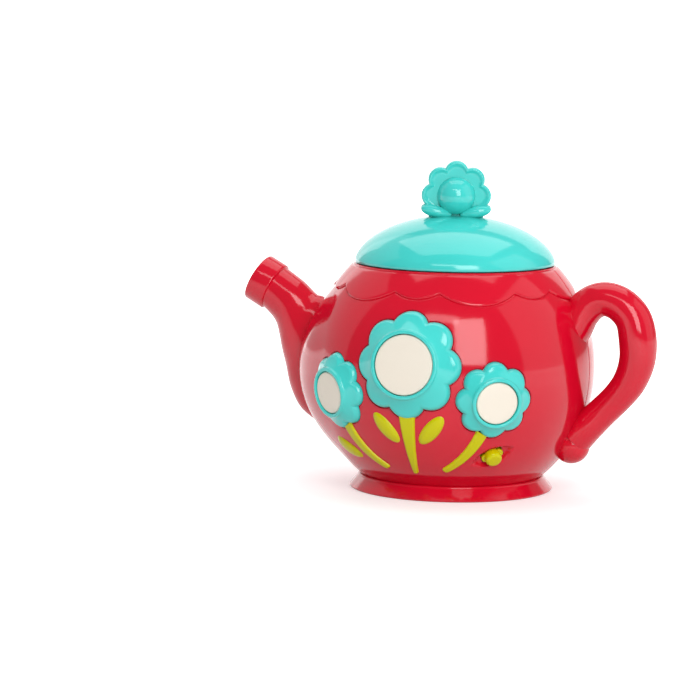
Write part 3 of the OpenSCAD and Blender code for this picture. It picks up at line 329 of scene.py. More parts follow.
def collar_edge(turn):
    """The lift of the collar's lower edge: the lowest of the round lobes there."""
    lowest = 90
    for lobe_turn, lobe_lift, lobe_r in LOBES:
        size = math.asin(lobe_r / BALL_R)
        middle = math.radians(lobe_lift) + size
        rise = math.sin(middle)
        run = math.cos(middle) * math.cos(math.radians(turn - lobe_turn))
        reach = math.cos(size) / math.hypot(rise, run)
        if reach < 1 and run > 0:
            lowest = min(lowest, math.degrees(math.atan2(rise, run) - math.acos(reach)))
    return lowest


print("collar edge in front:", round(collar_edge(0), 1), "between lobes:", round(collar_edge(12.1), 1))

# %% [markdown]
# The switch sits in a leaf-shaped scoop that is pressed into the skin, low at the right. A Boolean
# would leave a sharp rim, so the scoop is a depth that is taken off the skin's radius and that fades
# out at the rim. The leaf is where two large circles overlap.

# %% Scoop for the switch
SWITCH = on_ball(38.2, -32.3, 28)
SCOOP_L, SCOOP_W, SCOOP_DEPTH, SCOOP_SOFT, SCOOP_SPILL = 19.6, 10, 1.9, 1.5, 0.3
LEAF_ARC = (SCOOP_L ** 2 + SCOOP_W ** 2) / (4 * SCOOP_W)
switch_inverse = SWITCH.inverted()


def smooth_step(x):
    x = min(max(x, 0), 1)
    return x * x * (3 - 2 * x)


def scoop(point):
    """Depth of the scoop under a place on the skin."""
    x, y, z = switch_inverse @ point
    if z < 0 or abs(x) > SCOOP_L or abs(y) > SCOOP_W:
        return 0
    inside = LEAF_ARC - math.hypot(abs(y) + LEAF_ARC - SCOOP_W / 2, x)
    return SCOOP_DEPTH * smooth_step((inside + SCOOP_SPILL) / SCOOP_SOFT)


print("scoop in the middle:", round(scoop(SWITCH @ Vector((0, 0, BALL_R))), 2), "mm deep")

# %% [markdown]
# Each half is one closed sheet. Its rows climb the outside, cross the rim and go down the inside, so
# the wall needs no modifier, which would fold over itself at the collar's sharp step. Columns
# crowd towards the seam, where a fine groove needs them.

# %% Half shells
COLUMNS, LOW_ROWS, TOP_ROWS, INNER_ROWS = 300, 150, 14, 40
WALL = 2.4
COLLAR = 0.7
# Millimetres up from the collar's edge, and height over the ball there.
EDGE = [(-1.5, 0), (-0.7, -0.03), (-0.3, -0.16), (-0.06, -0.24),
        (0, 0.1), (0.1, 0.42), (0.3, 0.6), (0.75, COLLAR)]
# Radius and height of the mouth's rim, from the outside to the inside.
RIM = [(46.35, 102.2), (46.15, 102.7), (45.8, 102.95), (45.3, MOUTH_Z), (43.6, MOUTH_Z), (42.2, MOUTH_Z),
       (41.9, 102.7), (41.9, 100.6), (44.2, 100.4)]
SEAM_DEPTH, SEAM_HALF, CROWDED = 0.3, 0.5, 0.6
DEGREES_PER_MM = math.degrees(1 / BALL_R)
BALL_MIDDLE = Vector((0, 0, BALL_Z))
rim_lift = math.degrees(math.atan2(RIM[0][1] - BALL_Z, RIM[0][0]))
inner_top = math.degrees(math.atan2(RIM[-1][1] - BALL_Z, RIM[-1][0]))
inner_low = math.degrees(math.asin((FOOT_TOP - BALL_Z) / (BALL_R - WALL)))
OUTER_ROWS = LOW_ROWS + len(EDGE) + TOP_ROWS
ALL_ROWS = OUTER_ROWS + len(RIM) + INNER_ROWS


def outer_row(j, edge):
    """Lift of an outer row and its height over the ball."""
    if j < LOW_ROWS:
        top = edge + EDGE[0][0] * DEGREES_PER_MM
        return LOW_LIFT + (top - LOW_LIFT) * j / LOW_ROWS, 0
    if j < LOW_ROWS + len(EDGE):
        offset, raised = EDGE[j - LOW_ROWS]
        return edge + offset * DEGREES_PER_MM, raised
    bottom = edge + EDGE[-1][0] * DEGREES_PER_MM
    return bottom + (rim_lift - bottom) * (j - LOW_ROWS - len(EDGE) + 1) / (TOP_ROWS + 1), COLLAR


def shell_half(first_turn, with_scoop):
    """Rows climb the outside, cross the rim, go down the inside and close underneath."""
    turns = [first_turn + 180 * (i / COLUMNS - CROWDED * math.sin(2 * math.pi * i / COLUMNS) / (2 * math.pi))
             for i in range(COLUMNS + 1)]
    edges = [collar_edge(t) for t in turns]

    def place(i, j):
        j %= ALL_ROWS
        if OUTER_ROWS <= j < OUTER_ROWS + len(RIM):
            r, z = RIM[j - OUTER_ROWS]
            return (r * math.sin(math.radians(turns[i])), -r * math.cos(math.radians(turns[i])), z)
        if j >= OUTER_ROWS + len(RIM):
            k = (j - OUTER_ROWS - len(RIM) + 1) / INNER_ROWS
            way = heading(turns[i], inner_top + (inner_low - inner_top) * k)
            return BALL_MIDDLE + (skin_radius(way) - WALL) * way
        lift, raised = outer_row(j, edges[i])
        way = heading(turns[i], lift)
        radius = skin_radius(way) + raised
        if with_scoop:
            radius -= scoop(BALL_MIDDLE + BALL_R * way)
        from_seam = math.radians(min(turns[i] - first_turn, first_turn + 180 - turns[i]))
        from_seam *= BALL_R * math.cos(math.radians(lift))
        return BALL_MIDDLE + (radius - SEAM_DEPTH * (1 - smooth_step(from_seam / SEAM_HALF))) * way

    bm = bent_sheet(COLUMNS, ALL_ROWS, place)
    bmesh.ops.edgeloop_fill(bm, edges=[e for e in bm.edges if e.is_boundary])
    return face_outwards(bm)


front = as_object("front_half", shell_half(-90, True))
rear = as_object("rear_half", shell_half(90, False))
print("shell halves:", len(front.data.vertices), "and", len(rear.data.vertices), "points")

# %% [markdown]
# ## Flowers
# Each flower is a plate of eight round petals with a raised ring for its button. Seen from the
# side it rises like a shallow bell towards the ring, and every petal is rounded over its edge, so
# a soft valley runs inwards between neighbours. A grid works here too: its columns go round and
# its rows follow a closed profile whose outer end reaches out to the petals.

# %% Flower form
PETALS = 8
# Radius over the petals, radius of a petal and of the button; rounding; height and width of the bell.
MIDDLE_FORM = {"tip": 23.9, "petal": 8.8, "cap": 13.4, "soft": 1.8, "bell": 3.1, "bell_w": 8.4}
SIDE_FORM = {"tip": 17.2, "petal": 6.3, "cap": 9.4, "soft": 1.6, "bell": 2.4, "bell_w": 5.7}
FLOWERS = {
    "centre": {"turn": 0, "lift": 6.2, **MIDDLE_FORM},
    "left": {"turn": -35.3, "lift": -7.3, **SIDE_FORM},
    "right": {"turn": 35.3, "lift": -7.3, **SIDE_FORM},
}
RUN_GAP = 0.35
RING_W, RING_TOP = 1.7, BALL_R + 4.7
LIP_W, BARREL_WALL, BARREL_LOW, BORE_STEP = 1.3, 2.7, BALL_R - 9.05, BALL_R - 1
PETAL_LOW, PETAL_TOP, VALLEY_FADE, VALLEY = -0.6, 1.9, 1.6, 0.5
POCKET = -0.6


def petal_angle(angle):
    """The angle from the nearest petal's middle; one petal points straight up."""
    pitch = 2 * math.pi / PETALS
    return (angle - math.pi / 2 + pitch / 2) % pitch - pitch / 2


def petal_reach(angle, tip, petal, grow=0):
    """Radius of the flower's outline."""
    near, reach = petal_angle(angle), tip - petal
    return reach * math.cos(near) + math.sqrt((petal + grow) ** 2 - (reach * math.sin(near)) ** 2)


def round_over(x):
    """Rises from 0 to 1 as a quarter circle."""
    x = min(max(x, 0), 1)
    return math.sqrt(1 - (1 - x) ** 2)


def petal_height(spec, radius, angle, ring_r):
    near, reach = petal_angle(angle), spec["tip"] - spec["petal"]
    from_middle = math.hypot(radius * math.cos(near) - reach, radius * math.sin(near))
    fade = smooth_step((radius - ring_r) / (spec["tip"] - ring_r) * VALLEY_FADE)
    outline = petal_reach(angle, spec["tip"], spec["petal"])
    over = (VALLEY * round_over((spec["petal"] - from_middle) / spec["soft"])
            + (1 - VALLEY) * round_over((outline - radius) / spec["soft"]))
    raised = PETAL_LOW + (PETAL_TOP - PETAL_LOW) * (1 - fade * (1 - over))
    raised += spec["bell"] * max(1 - (radius - ring_r) / spec["bell_w"], 0) ** 2
    return cap_height(radius, 0, raised)


for name, spec in FLOWERS.items():
    print(name, "flower:", 2 * spec["tip"], "mm over the petals")

# %% [markdown]
# The profile starts under the plate at the barrel, runs up the bore, over the ring and out to the
# petals, and returns underneath. It has the same number of points at every angle, so the profiles can
# be the columns of one closed sheet.

# %% Flower sheets
PETAL_ROWS, ARC = 22, 4
BORE_ROUND, RING_ROUND, FOOT_GAP, UNDERCUT = 0.5, 0.8, 0.1, 0.2


def flower_profile(spec, angle):
    bore = spec["cap"] + RUN_GAP
    ring_r = bore + RING_W
    low_bore = spec["cap"] + LIP_W + RUN_GAP
    barrel = low_bore + BARREL_WALL
    out = petal_reach(angle, spec["tip"], spec["petal"])
    points = [(barrel, BARREL_LOW), (low_bore, BARREL_LOW), (low_bore, BORE_STEP), (bore, BORE_STEP)]
    for k in range(ARC + 1):
        a = math.pi / 2 * k / ARC
        points.append((bore + BORE_ROUND - BORE_ROUND * math.cos(a),
                       RING_TOP - BORE_ROUND + BORE_ROUND * math.sin(a)))
    for k in range(ARC + 1):
        a = math.pi / 2 * k / ARC
        points.append((ring_r - RING_ROUND + RING_ROUND * math.sin(a),
                       RING_TOP - RING_ROUND + RING_ROUND * math.cos(a)))
    for k in range(PETAL_ROWS + 1):
        t = 1 - (1 - k / PETAL_ROWS) ** 2
        radius = ring_r + FOOT_GAP + (out - ring_r - FOOT_GAP) * t
        points.append((radius, petal_height(spec, radius, angle, ring_r)))
    points.append((out - UNDERCUT, cap_height(out - UNDERCUT, 0, POCKET)))
    points.append((barrel, cap_height(barrel, 0, POCKET)))
    points.append(points[0])
    return points


COLUMNS_PER_PETAL = 28


def flower_sheet(spec):
    count = PETALS * COLUMNS_PER_PETAL
    angles = [math.pi / 2 + 2 * math.pi * i / count for i in range(count + 1)]
    angles[-1] = angles[0]
    profiles = [flower_profile(spec, a) for a in angles]
    frame_at = on_ball(spec["turn"], spec["lift"])

    def place(i, j):
        radius, height = profiles[i][j]
        return frame_at @ Vector((radius * math.cos(angles[i]), radius * math.sin(angles[i]), height))

    return bent_sheet(count, len(profiles[0]) - 1, place)


for name, spec in FLOWERS.items():
    plate = as_object(name + "_petals", face_outwards(flower_sheet(spec)))
    dress(plate, teal_gloss, "pot", [name + "_flower"], crease=50)

# %% [markdown]
# Each flower lies in a pocket that leaves a hair of a gap round its petals, and its barrel passes
# through the shell. Cutting the pockets out of the front shell gives the dark line that shows round
# every flower.

# %% Pockets in the front shell
POCKET_DEPTH, POCKET_GAP, CUT_TOP, FLARE, OVER_SKIN = 0.75, 0.3, 8, 0.35, 0.05
CUTTER_COLUMNS, FLOOR_ROWS = PETALS * 16, 10
BARREL_PLAY, BORE_START, BORE_END = 0.1, BALL_R - 12, BALL_R + 1


def pocket_cutters(spec):
    """A shallow cutter with the flower's outline and a deep round one for its barrel."""
    frame_at = on_ball(spec["turn"], spec["lift"])
    walls = [(POCKET_GAP, -POCKET_DEPTH), (POCKET_GAP, -FLARE),
             (POCKET_GAP + FLARE, OVER_SKIN), (POCKET_GAP + FLARE, CUT_TOP)]
    rows = 2 * FLOOR_ROWS + len(walls) - 1

    def place(i, j):
        angle = math.pi / 2 + 2 * math.pi * (i % CUTTER_COLUMNS) / CUTTER_COLUMNS
        grow, raised = walls[min(max(j - FLOOR_ROWS, 0), len(walls) - 1)]
        share = min(j / FLOOR_ROWS, (rows - j) / FLOOR_ROWS, 1)
        radius = share * petal_reach(angle, spec["tip"], spec["petal"], grow)
        height = cap_height(radius, 0, raised)
        return frame_at @ Vector((radius * math.cos(angle), radius * math.sin(angle), height))

    barrel = spec["cap"] + LIP_W + RUN_GAP + BARREL_WALL + BARREL_PLAY
    bore = turned([(0, BORE_START), (barrel, BORE_START), (barrel, BORE_END), (0, BORE_END)], frame_at)
    sheet = bent_sheet(CUTTER_COLUMNS, rows, place)
    return face_outwards(sheet), face_outwards(bore)


for spec in FLOWERS.values():
    for cutter in pocket_cutters(spec):
        carve(front, cutter)
print("front shell after its pockets:", len(front.data.polygons), "faces")

# %% [markdown]
# The switch runs in a slot through the scoop's floor. A stretched cube is enough to cut it, because
# the knob covers most of the slot.

# %% Slot of the switch
SLOT_L, SLOT_W, SLOT_DEEP = 10.3, 5.1, 14
slot = bmesh.new()
bmesh.ops.create_cube(slot, size=1)
bmesh.ops.transform(slot, verts=slot.verts,
                    matrix=Matrix.Scale(MM, 4) @ SWITCH @ Matrix.Translation((0, 0, BALL_R))
                    @ Matrix.Diagonal((SLOT_L, SLOT_W, SLOT_DEEP, 1)))
carve(front, slot)
dress(front, red_shell, "pot", ["front_shell"])

# %% [markdown]
# ## Back of the body
# Sound leaves through a rosette of small holes in front of the loudspeaker, and four screws at
# the bottom of round wells hold the halves together. Real holes are cut, because a painted dot would
# not darken when one looks along it.

# %% Sound holes and screw wells
SPEAKER = on_ball(180, -6)
HOLE_R, HOLE_PITCH, HOLE_RINGS, HOLE_SIDES = 1.2, 4.6, 3, 20
HOLE_START, HOLE_END = BALL_R - 8, BALL_R + 4
WELLS = [(x * far, z) for x in (-1, 1) for far, z in ((47.3, 91), (46, 36))]
WELL_R, WELL_START, WELL_SEAT = 3.2, 5, 9
BOSS_R, BOSS_CONE, BOSS_IN_WALL, BOSS_SIDES, SHANK_R = 4.2, 3, 1, 32, 1.6


def rod(radius, start, end, place, sides=24):
    """A round cutter along local z."""
    return face_outwards(turned([(0, start), (radius, start), (radius, end), (0, end)], place, sides))


holes = [rod(HOLE_R, HOLE_START, HOLE_END,
             SPEAKER @ Matrix.Rotation(2 * math.pi * k / max(6 * ring, 1), 4, "Z")
             @ Matrix.Translation((ring * HOLE_PITCH, 0, 0)), HOLE_SIDES)
         for ring in range(HOLE_RINGS + 1) for k in range(max(6 * ring, 1))]
print("sound holes:", len(holes))
carve(rear, joined(*holes))


def facing_back(x, z):
    """A frame whose local z points to the back."""
    return Matrix.Translation((x, 0, z)) @ Matrix.Rotation(-math.pi / 2, 4, "X")


carve(rear, joined(*[rod(WELL_R, WELL_START, BALL_R, facing_back(x, z)) for x, z in WELLS]))


def boss(x, z):
    """A tube from the screw's seat into the shell's wall, where it ends on the ball's curve."""
    bm = turned([(SHANK_R, WELL_SEAT), (BOSS_R, WELL_SEAT - BOSS_CONE), (BOSS_R, BALL_R), (WELL_R, BALL_R),
                 (WELL_R, WELL_SEAT), (SHANK_R, WELL_SEAT)], facing_back(x, z), BOSS_SIDES)
    inside = (BALL_R - BOSS_IN_WALL) * MM
    for v in bm.verts:
        if v.co.y > WELL_SEAT * MM + MERGE:
            v.co.y = math.sqrt(inside ** 2 - v.co.x ** 2 - (v.co.z - BALL_Z * MM) ** 2)
    return face_outwards(bm)


tubes = as_object("screw_wells", joined(*[boss(x, z) for x, z in WELLS]))
dress(tubes, red_shell, "pot")
dress(rear, red_shell, "pot", ["rear_shell"])

# %% [markdown]
# ## Buttons
# A button is a shallow cup with a flat matt top, a rounded edge and a lip that keeps it from falling
# out. Under it a rubber dome pushes it back, so the dome flattens when the button goes down. Both are
# turned from a profile, and the frame's squash makes the dome follow the button.

# %% Buttons and their domes
CAP_TOP, CAP_LOW = BALL_R + 4.4, BALL_R - 3.05
CAP_ROUND, CAP_SAG, CAP_WALL, LIP_T, POST_R, CAP_STEPS = 0.7, 0.15, 1.6, 1.7, 3.2, 5
# Share of the button's radius, and how far its face has sagged there.
CAP_CROWN = [(0.8, 0.08), (0.5, 0.02), (0.2, 0), (0, 0)]
DOME_PLAY, DOME_KEEP = 0.1, 0.66
DOME_LOW, DOME_TOP = BARREL_LOW, CAP_LOW - DOME_PLAY


def cap_profile(r):
    under = CAP_TOP - CAP_WALL
    points = [(0, CAP_LOW), (POST_R, CAP_LOW), (POST_R, under), (r - CAP_WALL, under),
              (r - CAP_WALL, CAP_LOW), (r + LIP_W, CAP_LOW), (r + LIP_W, CAP_LOW + LIP_T),
              (r, CAP_LOW + LIP_T)]
    for k in range(CAP_STEPS + 1):
        a = math.pi / 2 * k / CAP_STEPS
        points.append((r - CAP_ROUND + CAP_ROUND * math.cos(a),
                       CAP_TOP - CAP_ROUND - CAP_SAG + CAP_ROUND * math.sin(a)))
    return points + [(r * share, CAP_TOP - sag) for share, sag in CAP_CROWN]


DOME_PROFILE = [(0, DOME_LOW + 3.6), (1.8, DOME_LOW + 3.5), (2.9, DOME_LOW + 2.6), (4.2, DOME_LOW + 0.2),
                (4.4, DOME_LOW), (6, DOME_LOW), (6, DOME_LOW + 0.7), (5.7, DOME_LOW + 1),
                (5.1, DOME_LOW + 1.1), (4.6, DOME_LOW + 2), (3.9, DOME_LOW + 4), (3.3, DOME_TOP - 0.5),
                (2.8, DOME_TOP), (0, DOME_TOP)]

for name, spec in FLOWERS.items():
    at = on_ball(spec["turn"], spec["lift"])
    dress(as_object(name + "_cap", face_outwards(turned(cap_profile(spec["cap"]), at, steps=128))),
          cream_cap, name + "_cap", [name + "_button"], crease=45)
    dome = dress(as_object(name + "_rubber", face_outwards(turned(DOME_PROFILE, at, steps=48))),
                 press_rubber, "pot", [name + "_dome"], crease=60)
    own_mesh(dome)

# %% [markdown]
# ## Stems and leaves
# They are flat lime inlays with softly rounded edges, let into the shell. A stem is a strip that
# tapers and ends round: a sheet whose height over the ball falls off as a quarter circle near the
# edge.

# %% Stems
INLAY_TOP, INLAY_LOW, INLAY_SOFT, INLAY_WALL = 1.05, -0.4, 1.1, 0.35
STEMS = {
    "centre": {"at": on_ball(0, -26.6), "l": 32, "w": 7.8, "tip": 2.4, "bow": 0},
    "left": {"at": on_ball(-24.8, -29.2, 35), "l": 27, "w": 6, "tip": 3.4, "bow": -1.5},
    "right": {"at": on_ball(24.8, -29.2, -35), "l": 27, "w": 6, "tip": 3.4, "bow": 1.5},
}
ACROSS, ALONG, TIP_CROWD = 24, 90, 1.6


def stem_sheet(at, l, w, tip, bow):
    def place(i, j):
        t = 1 - (1 - j / ALONG) ** TIP_CROWD
        side = math.sin((i / ACROSS - 0.5) * math.pi)
        half = (w + (tip - w) * t) / 2
        to_tip = (1 - t) * l
        if to_tip < tip / 2:
            half *= math.sqrt(max(1 - (1 - 2 * to_tip / tip) ** 2, 0))
        x = bow * (1 - 4 * (t - 0.5) ** 2) + side * half
        y = l * (0.5 - t) - tip / 2
        edge = min(half * (1 - abs(side)), to_tip)
        raised = INLAY_LOW + (INLAY_TOP - INLAY_LOW) * round_over(edge / INLAY_SOFT)
        return at @ Vector((x, y, cap_height(x, y, raised)))

    return bent_sheet(ACROSS, ALONG, place)


for name, stem in STEMS.items():
    strip = as_object(name + "_stem_strip", face_outwards(stem_sheet(**stem), (0, 0, BALL_Z)))
    thicken(strip, INLAY_WALL)
    dress(strip, lime_gloss, "pot", [name + "_stem"], crease=60)

# %% [markdown]
# The two leaves of the middle stem and the one at the left stand a little higher than the stems and
# are rounded all over, so their height falls off along the whole radius.

# %% Leaves
LEAF_L, LEAF_W, LEAF_PLUMP, LEAF_FALL, LEAF_ROUND = 17.6, 7.4, 0.3, 3, 0.6
LEAVES = {
    "centre_left_leaf": on_ball(-10, -20, 37),
    "centre_right_leaf": on_ball(10, -20, -37),
    "left_leaf": on_ball(-38.2, -32.3, -28 + 90),
}
LEAF_COLUMNS, LEAF_ROWS = 72, 14


def leaf_sheet(at):
    def place(i, j):
        angle = 2 * math.pi * (i % LEAF_COLUMNS) / LEAF_COLUMNS
        share = math.sin(math.pi / 2 * j / LEAF_ROWS)
        x, y = share * LEAF_W / 2 * math.cos(angle), share * LEAF_L / 2 * math.sin(angle)
        raised = INLAY_LOW + (INLAY_TOP + LEAF_PLUMP - INLAY_LOW) * (1 - share ** LEAF_FALL) ** LEAF_ROUND
        return at @ Vector((x, y, cap_height(x, y, raised)))

    return bent_sheet(LEAF_COLUMNS, LEAF_ROWS, place)


for name, at in LEAVES.items():
    oval = as_object(name + "_inlay", face_outwards(leaf_sheet(at), (0, 0, BALL_Z)))
    thicken(oval, INLAY_WALL)
    dress(oval, lime_gloss, "pot", [name], crease=60)

# %% [markdown]
# ## Switch
# A round knob stands on a narrow plate in the scoop and slides with it. Under the floor a wider
# bar keeps it in its slot. The knob is turned; plate, neck and bar are cubes whose upright edges are
# bevelled first and whose upper edges are softened after that.

# %% Switch knob
KNOB_R, KNOB_LOW, KNOB_TOP, KNOB_ROUND = 3.7, BALL_R - 1.4, BALL_R + 2.65, 1.5
KNOB_STEPS, KNOB_CROWN, UPPER_ROUND = 7, 0.1, 0.3
PLATE = {"length": 10, "width": 4.2, "low": BALL_R - 1.75, "high": BALL_R - 0.75, "corner": 2}
NECK = {"length": 5.6, "width": 4.4, "low": BALL_R - 5, "high": BALL_R - 1.5, "corner": 0.6}
BAR = {"length": 15.7, "width": 7.4, "low": BALL_R - 6.15, "high": BALL_R - 4.95, "corner": 0.8}
knob_profile = [(0, KNOB_LOW), (KNOB_R, KNOB_LOW)]
for k in range(KNOB_STEPS + 1):
    a = math.pi / 2 * k / KNOB_STEPS
    knob_profile.append((KNOB_R - KNOB_ROUND + KNOB_ROUND * math.cos(a),
                         KNOB_TOP - KNOB_ROUND + KNOB_ROUND * math.sin(a)))
knob_profile.append((0, KNOB_TOP + KNOB_CROWN))
knob = face_outwards(turned(knob_profile, SWITCH, steps=64))


def rounded_bar(place, length, width, low, high, corner):
    """A bar along local x with rounded corners and a soft upper edge."""
    bm = bmesh.new()
    bmesh.ops.create_cube(bm, size=1)
    bmesh.ops.transform(bm, matrix=Matrix.Translation((0, 0, (low + high) / 2))
                        @ Matrix.Diagonal((length, width, high - low, 1)), verts=bm.verts)
    upright = [e for e in bm.edges if abs(e.verts[0].co.z - e.verts[1].co.z) > 1e-3]
    bmesh.ops.bevel(bm, geom=upright, offset=corner, offset_type="OFFSET", affect="EDGES",
                    segments=8, profile=0.5, material=-1)
    top = [e for e in bm.edges if all(v.co.z > high - 1e-4 for v in e.verts)]
    bmesh.ops.bevel(bm, geom=top, offset=UPPER_ROUND, offset_type="OFFSET", affect="EDGES",
                    segments=3, profile=0.5, material=-1)
    bmesh.ops.transform(bm, matrix=Matrix.Scale(MM, 4) @ place, verts=bm.verts)
    return face_outwards(bm)


bars = [rounded_bar(SWITCH, **sizes) for sizes in (PLATE, NECK, BAR)]
slider = as_object("switch_knob", joined(knob, *bars))
dress(slider, lime_gloss, "switch", ["switch_slider"], crease=50)

# %% [markdown]
# ## Spout
# The spout grows out of the swelling as a tall flat-sided root and narrows to a round tube.
# Seven listed sections give its tilt, height and width; a smooth curve runs through them, and the
# grid's columns go round it.

# %% Spout
# Way out from the ball, rise over its middle, tilt in degrees, half height and half width.
SPOUT_SECTIONS = [
    (-9, -4, 12, 29, 14), (-0.5, 0.3, 18, 27, 13), (4.7, 5.5, 22, 23.2, 12.2), (8, 11.5, 26, 18.6, 11.6),
    (10.6, 15.6, 29, 15.5, 11.2), (15.2, 24.5, 31, 11.6, 10.7), (22.8, 31, 28.5, 10.4, 10.4)]


def smooth_path(points, steps):
    """A smooth curve through the points, as tuples of any length."""
    path = []
    for i in range(len(points) - 1):
        a, b, c, d = (points[min(max(i + k, 0), len(points) - 1)] for k in (-1, 0, 1, 2))
        for k in range(steps):
            t = k / steps
            path.append([0.5 * (2 * q + (r - p) * t + (2 * p - 5 * q + 4 * r - s) * t * t
                                + (3 * q - p - 3 * r + s) * t ** 3) for p, q, r, s in zip(a, b, c, d)])
    return path + [list(points[-1])]


spout_path = smooth_path(SPOUT_SECTIONS, steps=8)
SPOUT_SIDES = 80


def spout_place(i, j):
    out, rise, tilt, tall, wide = spout_path[j]
    a, tilt = 2 * math.pi * (i % SPOUT_SIDES) / SPOUT_SIDES, math.radians(tilt)
    up = tall * math.cos(a)
    return (-(BALL_R + out) + up * math.sin(tilt), -wide * math.sin(a), BALL_Z + rise + up * math.cos(tilt))


def close_ends(bm):
    bmesh.ops.edgeloop_fill(bm, edges=[e for e in bm.edges if e.is_boundary])
    return bm


spout = close_ends(bent_sheet(SPOUT_SIDES, len(spout_path) - 1, spout_place))
dress(as_object("spout_tube", face_outwards(spout)), red_shell, "pot", ["spout"])

# %% [markdown]
# The ring at the tip is turned. Its profile goes round both outer edges, over the mouth's edge and
# down to the mouth's floor.

# %% Ring of the spout
TIP_R, TIP_L, MOUTH_R, MOUTH_DEPTH, TIP_ROUND, TIP_STEPS = 11.4, 9.85, 8.5, 8, 0.9, 5
MOUTH_EDGE, MOUTH_FILLET = [(0.7, 0), (0.2, -0.2), (0, -0.7)], 1
end_out, end_rise, end_tilt = SPOUT_SECTIONS[-1][:3]
tip_at = (Matrix.Translation((-(BALL_R + end_out), 0, BALL_Z + end_rise))
          @ Matrix.Rotation(math.radians(end_tilt - 90), 4, "Y"))
tip_profile = [(0, 0), (TIP_R - TIP_ROUND, 0)]
for start, height in ((-90, TIP_ROUND), (0, TIP_L - TIP_ROUND)):
    for k in range(1 if start < 0 else 0, TIP_STEPS + 1):
        a = math.radians(start + 90 * k / TIP_STEPS)
        tip_profile.append((TIP_R - TIP_ROUND + TIP_ROUND * math.cos(a), height + TIP_ROUND * math.sin(a)))
mouth_floor = TIP_L - MOUTH_DEPTH
tip_profile += [(MOUTH_R + r, TIP_L + z) for r, z in MOUTH_EDGE]
tip_profile += [(MOUTH_R, mouth_floor + MOUTH_FILLET), (MOUTH_R - MOUTH_FILLET, mouth_floor),
                (0, mouth_floor)]
ring = as_object("spout_ring", face_outwards(turned(tip_profile, tip_at, steps=96)))
dress(ring, red_shell, "pot", ["spout_tip"])

# %% [markdown]
# ## Handle
# The handle is an ear-shaped tube in two halves, with a fine seam along its middle. It swells in the
# outer bend, flares where it leaves the body and ends below in a rounded heel. Each half is a sheet
# along a smooth curve, with its columns crowded at the seam; it gets a wall on its inner side, and
# half a ball makes the heel.

# %% Handle halves
# Way out from the ball, rise over its middle, radius, and how much wider it is from front to back.
HANDLE_SECTIONS = [
    (-12, 11.5, 7.2, 1.55), (-7.5, 19.5, 7.9, 1.3), (-4.5, 26.5, 8.2, 1.1), (0.5, 31.8, 8, 1),
    (7, 33.7, 7.8, 1), (14, 31.5, 8, 1), (19.8, 25.5, 8.3, 1), (22.1, 16.5, 8.6, 1), (22.1, 6.8, 8.2, 1),
    (19, -2.5, 7.6, 1), (13.8, -9.9, 7.1, 1), (6.5, -17.5, 7, 1), (-0.3, -24.2, 7.5, 1.08),
    (-6, -30, 8.1, 1.03)]
handle_path = smooth_path(HANDLE_SECTIONS, steps=8)
HANDLE_SIDES, HANDLE_WALL, HANDLE_CROWD, HALF_GAP = 48, 2.2, 0.7, 0.02
HEEL, HEEL_R, HEEL_GAP = Vector((57.3, 0, 23)), 8.4, 0.15


def handle_place(i, j, side):
    before, after = handle_path[max(j - 1, 0)], handle_path[min(j + 1, len(handle_path) - 1)]
    out, rise, r, flare = handle_path[j]
    run = Vector((after[0] - before[0], 0, after[1] - before[1])).normalized()
    aside = Vector((-run.z, 0, run.x))
    t = i / HANDLE_SIDES
    a = math.pi * (t - HANDLE_CROWD * math.sin(2 * math.pi * t) / (2 * math.pi))
    r -= SEAM_DEPTH * (1 - smooth_step(r * min(a, math.pi - a) / SEAM_HALF))
    return (Vector((BALL_R + out, 0, BALL_Z + rise)) + r * math.cos(a) * aside
            + Vector((0, side * (r * flare * math.sin(a) + HALF_GAP), 0)))


def heel_half(side):
    bm = bmesh.new()
    bmesh.ops.create_uvsphere(bm, u_segments=64, v_segments=32, radius=HEEL_R * MM)
    bmesh.ops.transform(bm, matrix=Matrix.Translation(HEEL * MM), verts=bm.verts)
    cut = bmesh.ops.bisect_plane(bm, geom=bm.verts[:] + bm.edges[:] + bm.faces[:], dist=MERGE,
                                 plane_co=(0, side * HEEL_GAP * MM, 0), plane_no=(0, -side, 0),
                                 clear_outer=True)
    bmesh.ops.edgeloop_fill(bm, edges=[e for e in cut["geom_cut"] if isinstance(e, bmesh.types.BMEdge)])
    return face_outwards(bm)


for name, side in (("front", -1), ("rear", 1)):
    sheet = bent_sheet(HANDLE_SIDES, len(handle_path) - 1, lambda i, j: handle_place(i, j, side))
    half = as_object("handle_%s_half" % name, face_outwards(sheet))
    if sum(face.normal.y for face in half.data.polygons) * side < 0:
        half.data.flip_normals()
    thicken(half, HANDLE_WALL)
    whole = bmesh.new()
    whole.from_mesh(half.data)
    old = half.data
    half.data = bpy.data.meshes.new(half.name)
    joined(whole, heel_half(side)).to_mesh(half.data)
    whole.free()
    bpy.data.meshes.remove(old)
    dress(half, red_shell, "pot", ["handle_" + name])

# %% [markdown]
# ## Lid
# The lid is a shallow dome with a rounded lower edge and a hole for the knob's screw. A turned
# profile gives it both walls at once.

# %% Lid dome
LID_R, LID_Z, LID_RISE, LID_CURVE, LID_WALL, SCREW_R = 46, 103.35, 21.7, 1.16, 2.2, 1.75
LID_STEPS, INNER_STEPS, LIP_END = 48, 24, 1
# Steps in from the lid's edge and up from its lower rim.
LID_LIP = [(0.9, 0), (0.45, 0.12), (0.15, 0.45)]


def lid_curve(shrink, steps):
    return [((LID_R - shrink) * math.cos(a), LID_Z + (LID_RISE - shrink) * math.sin(a) ** LID_CURVE)
            for a in (math.pi / 2 * k / steps for k in range(steps + 1))]


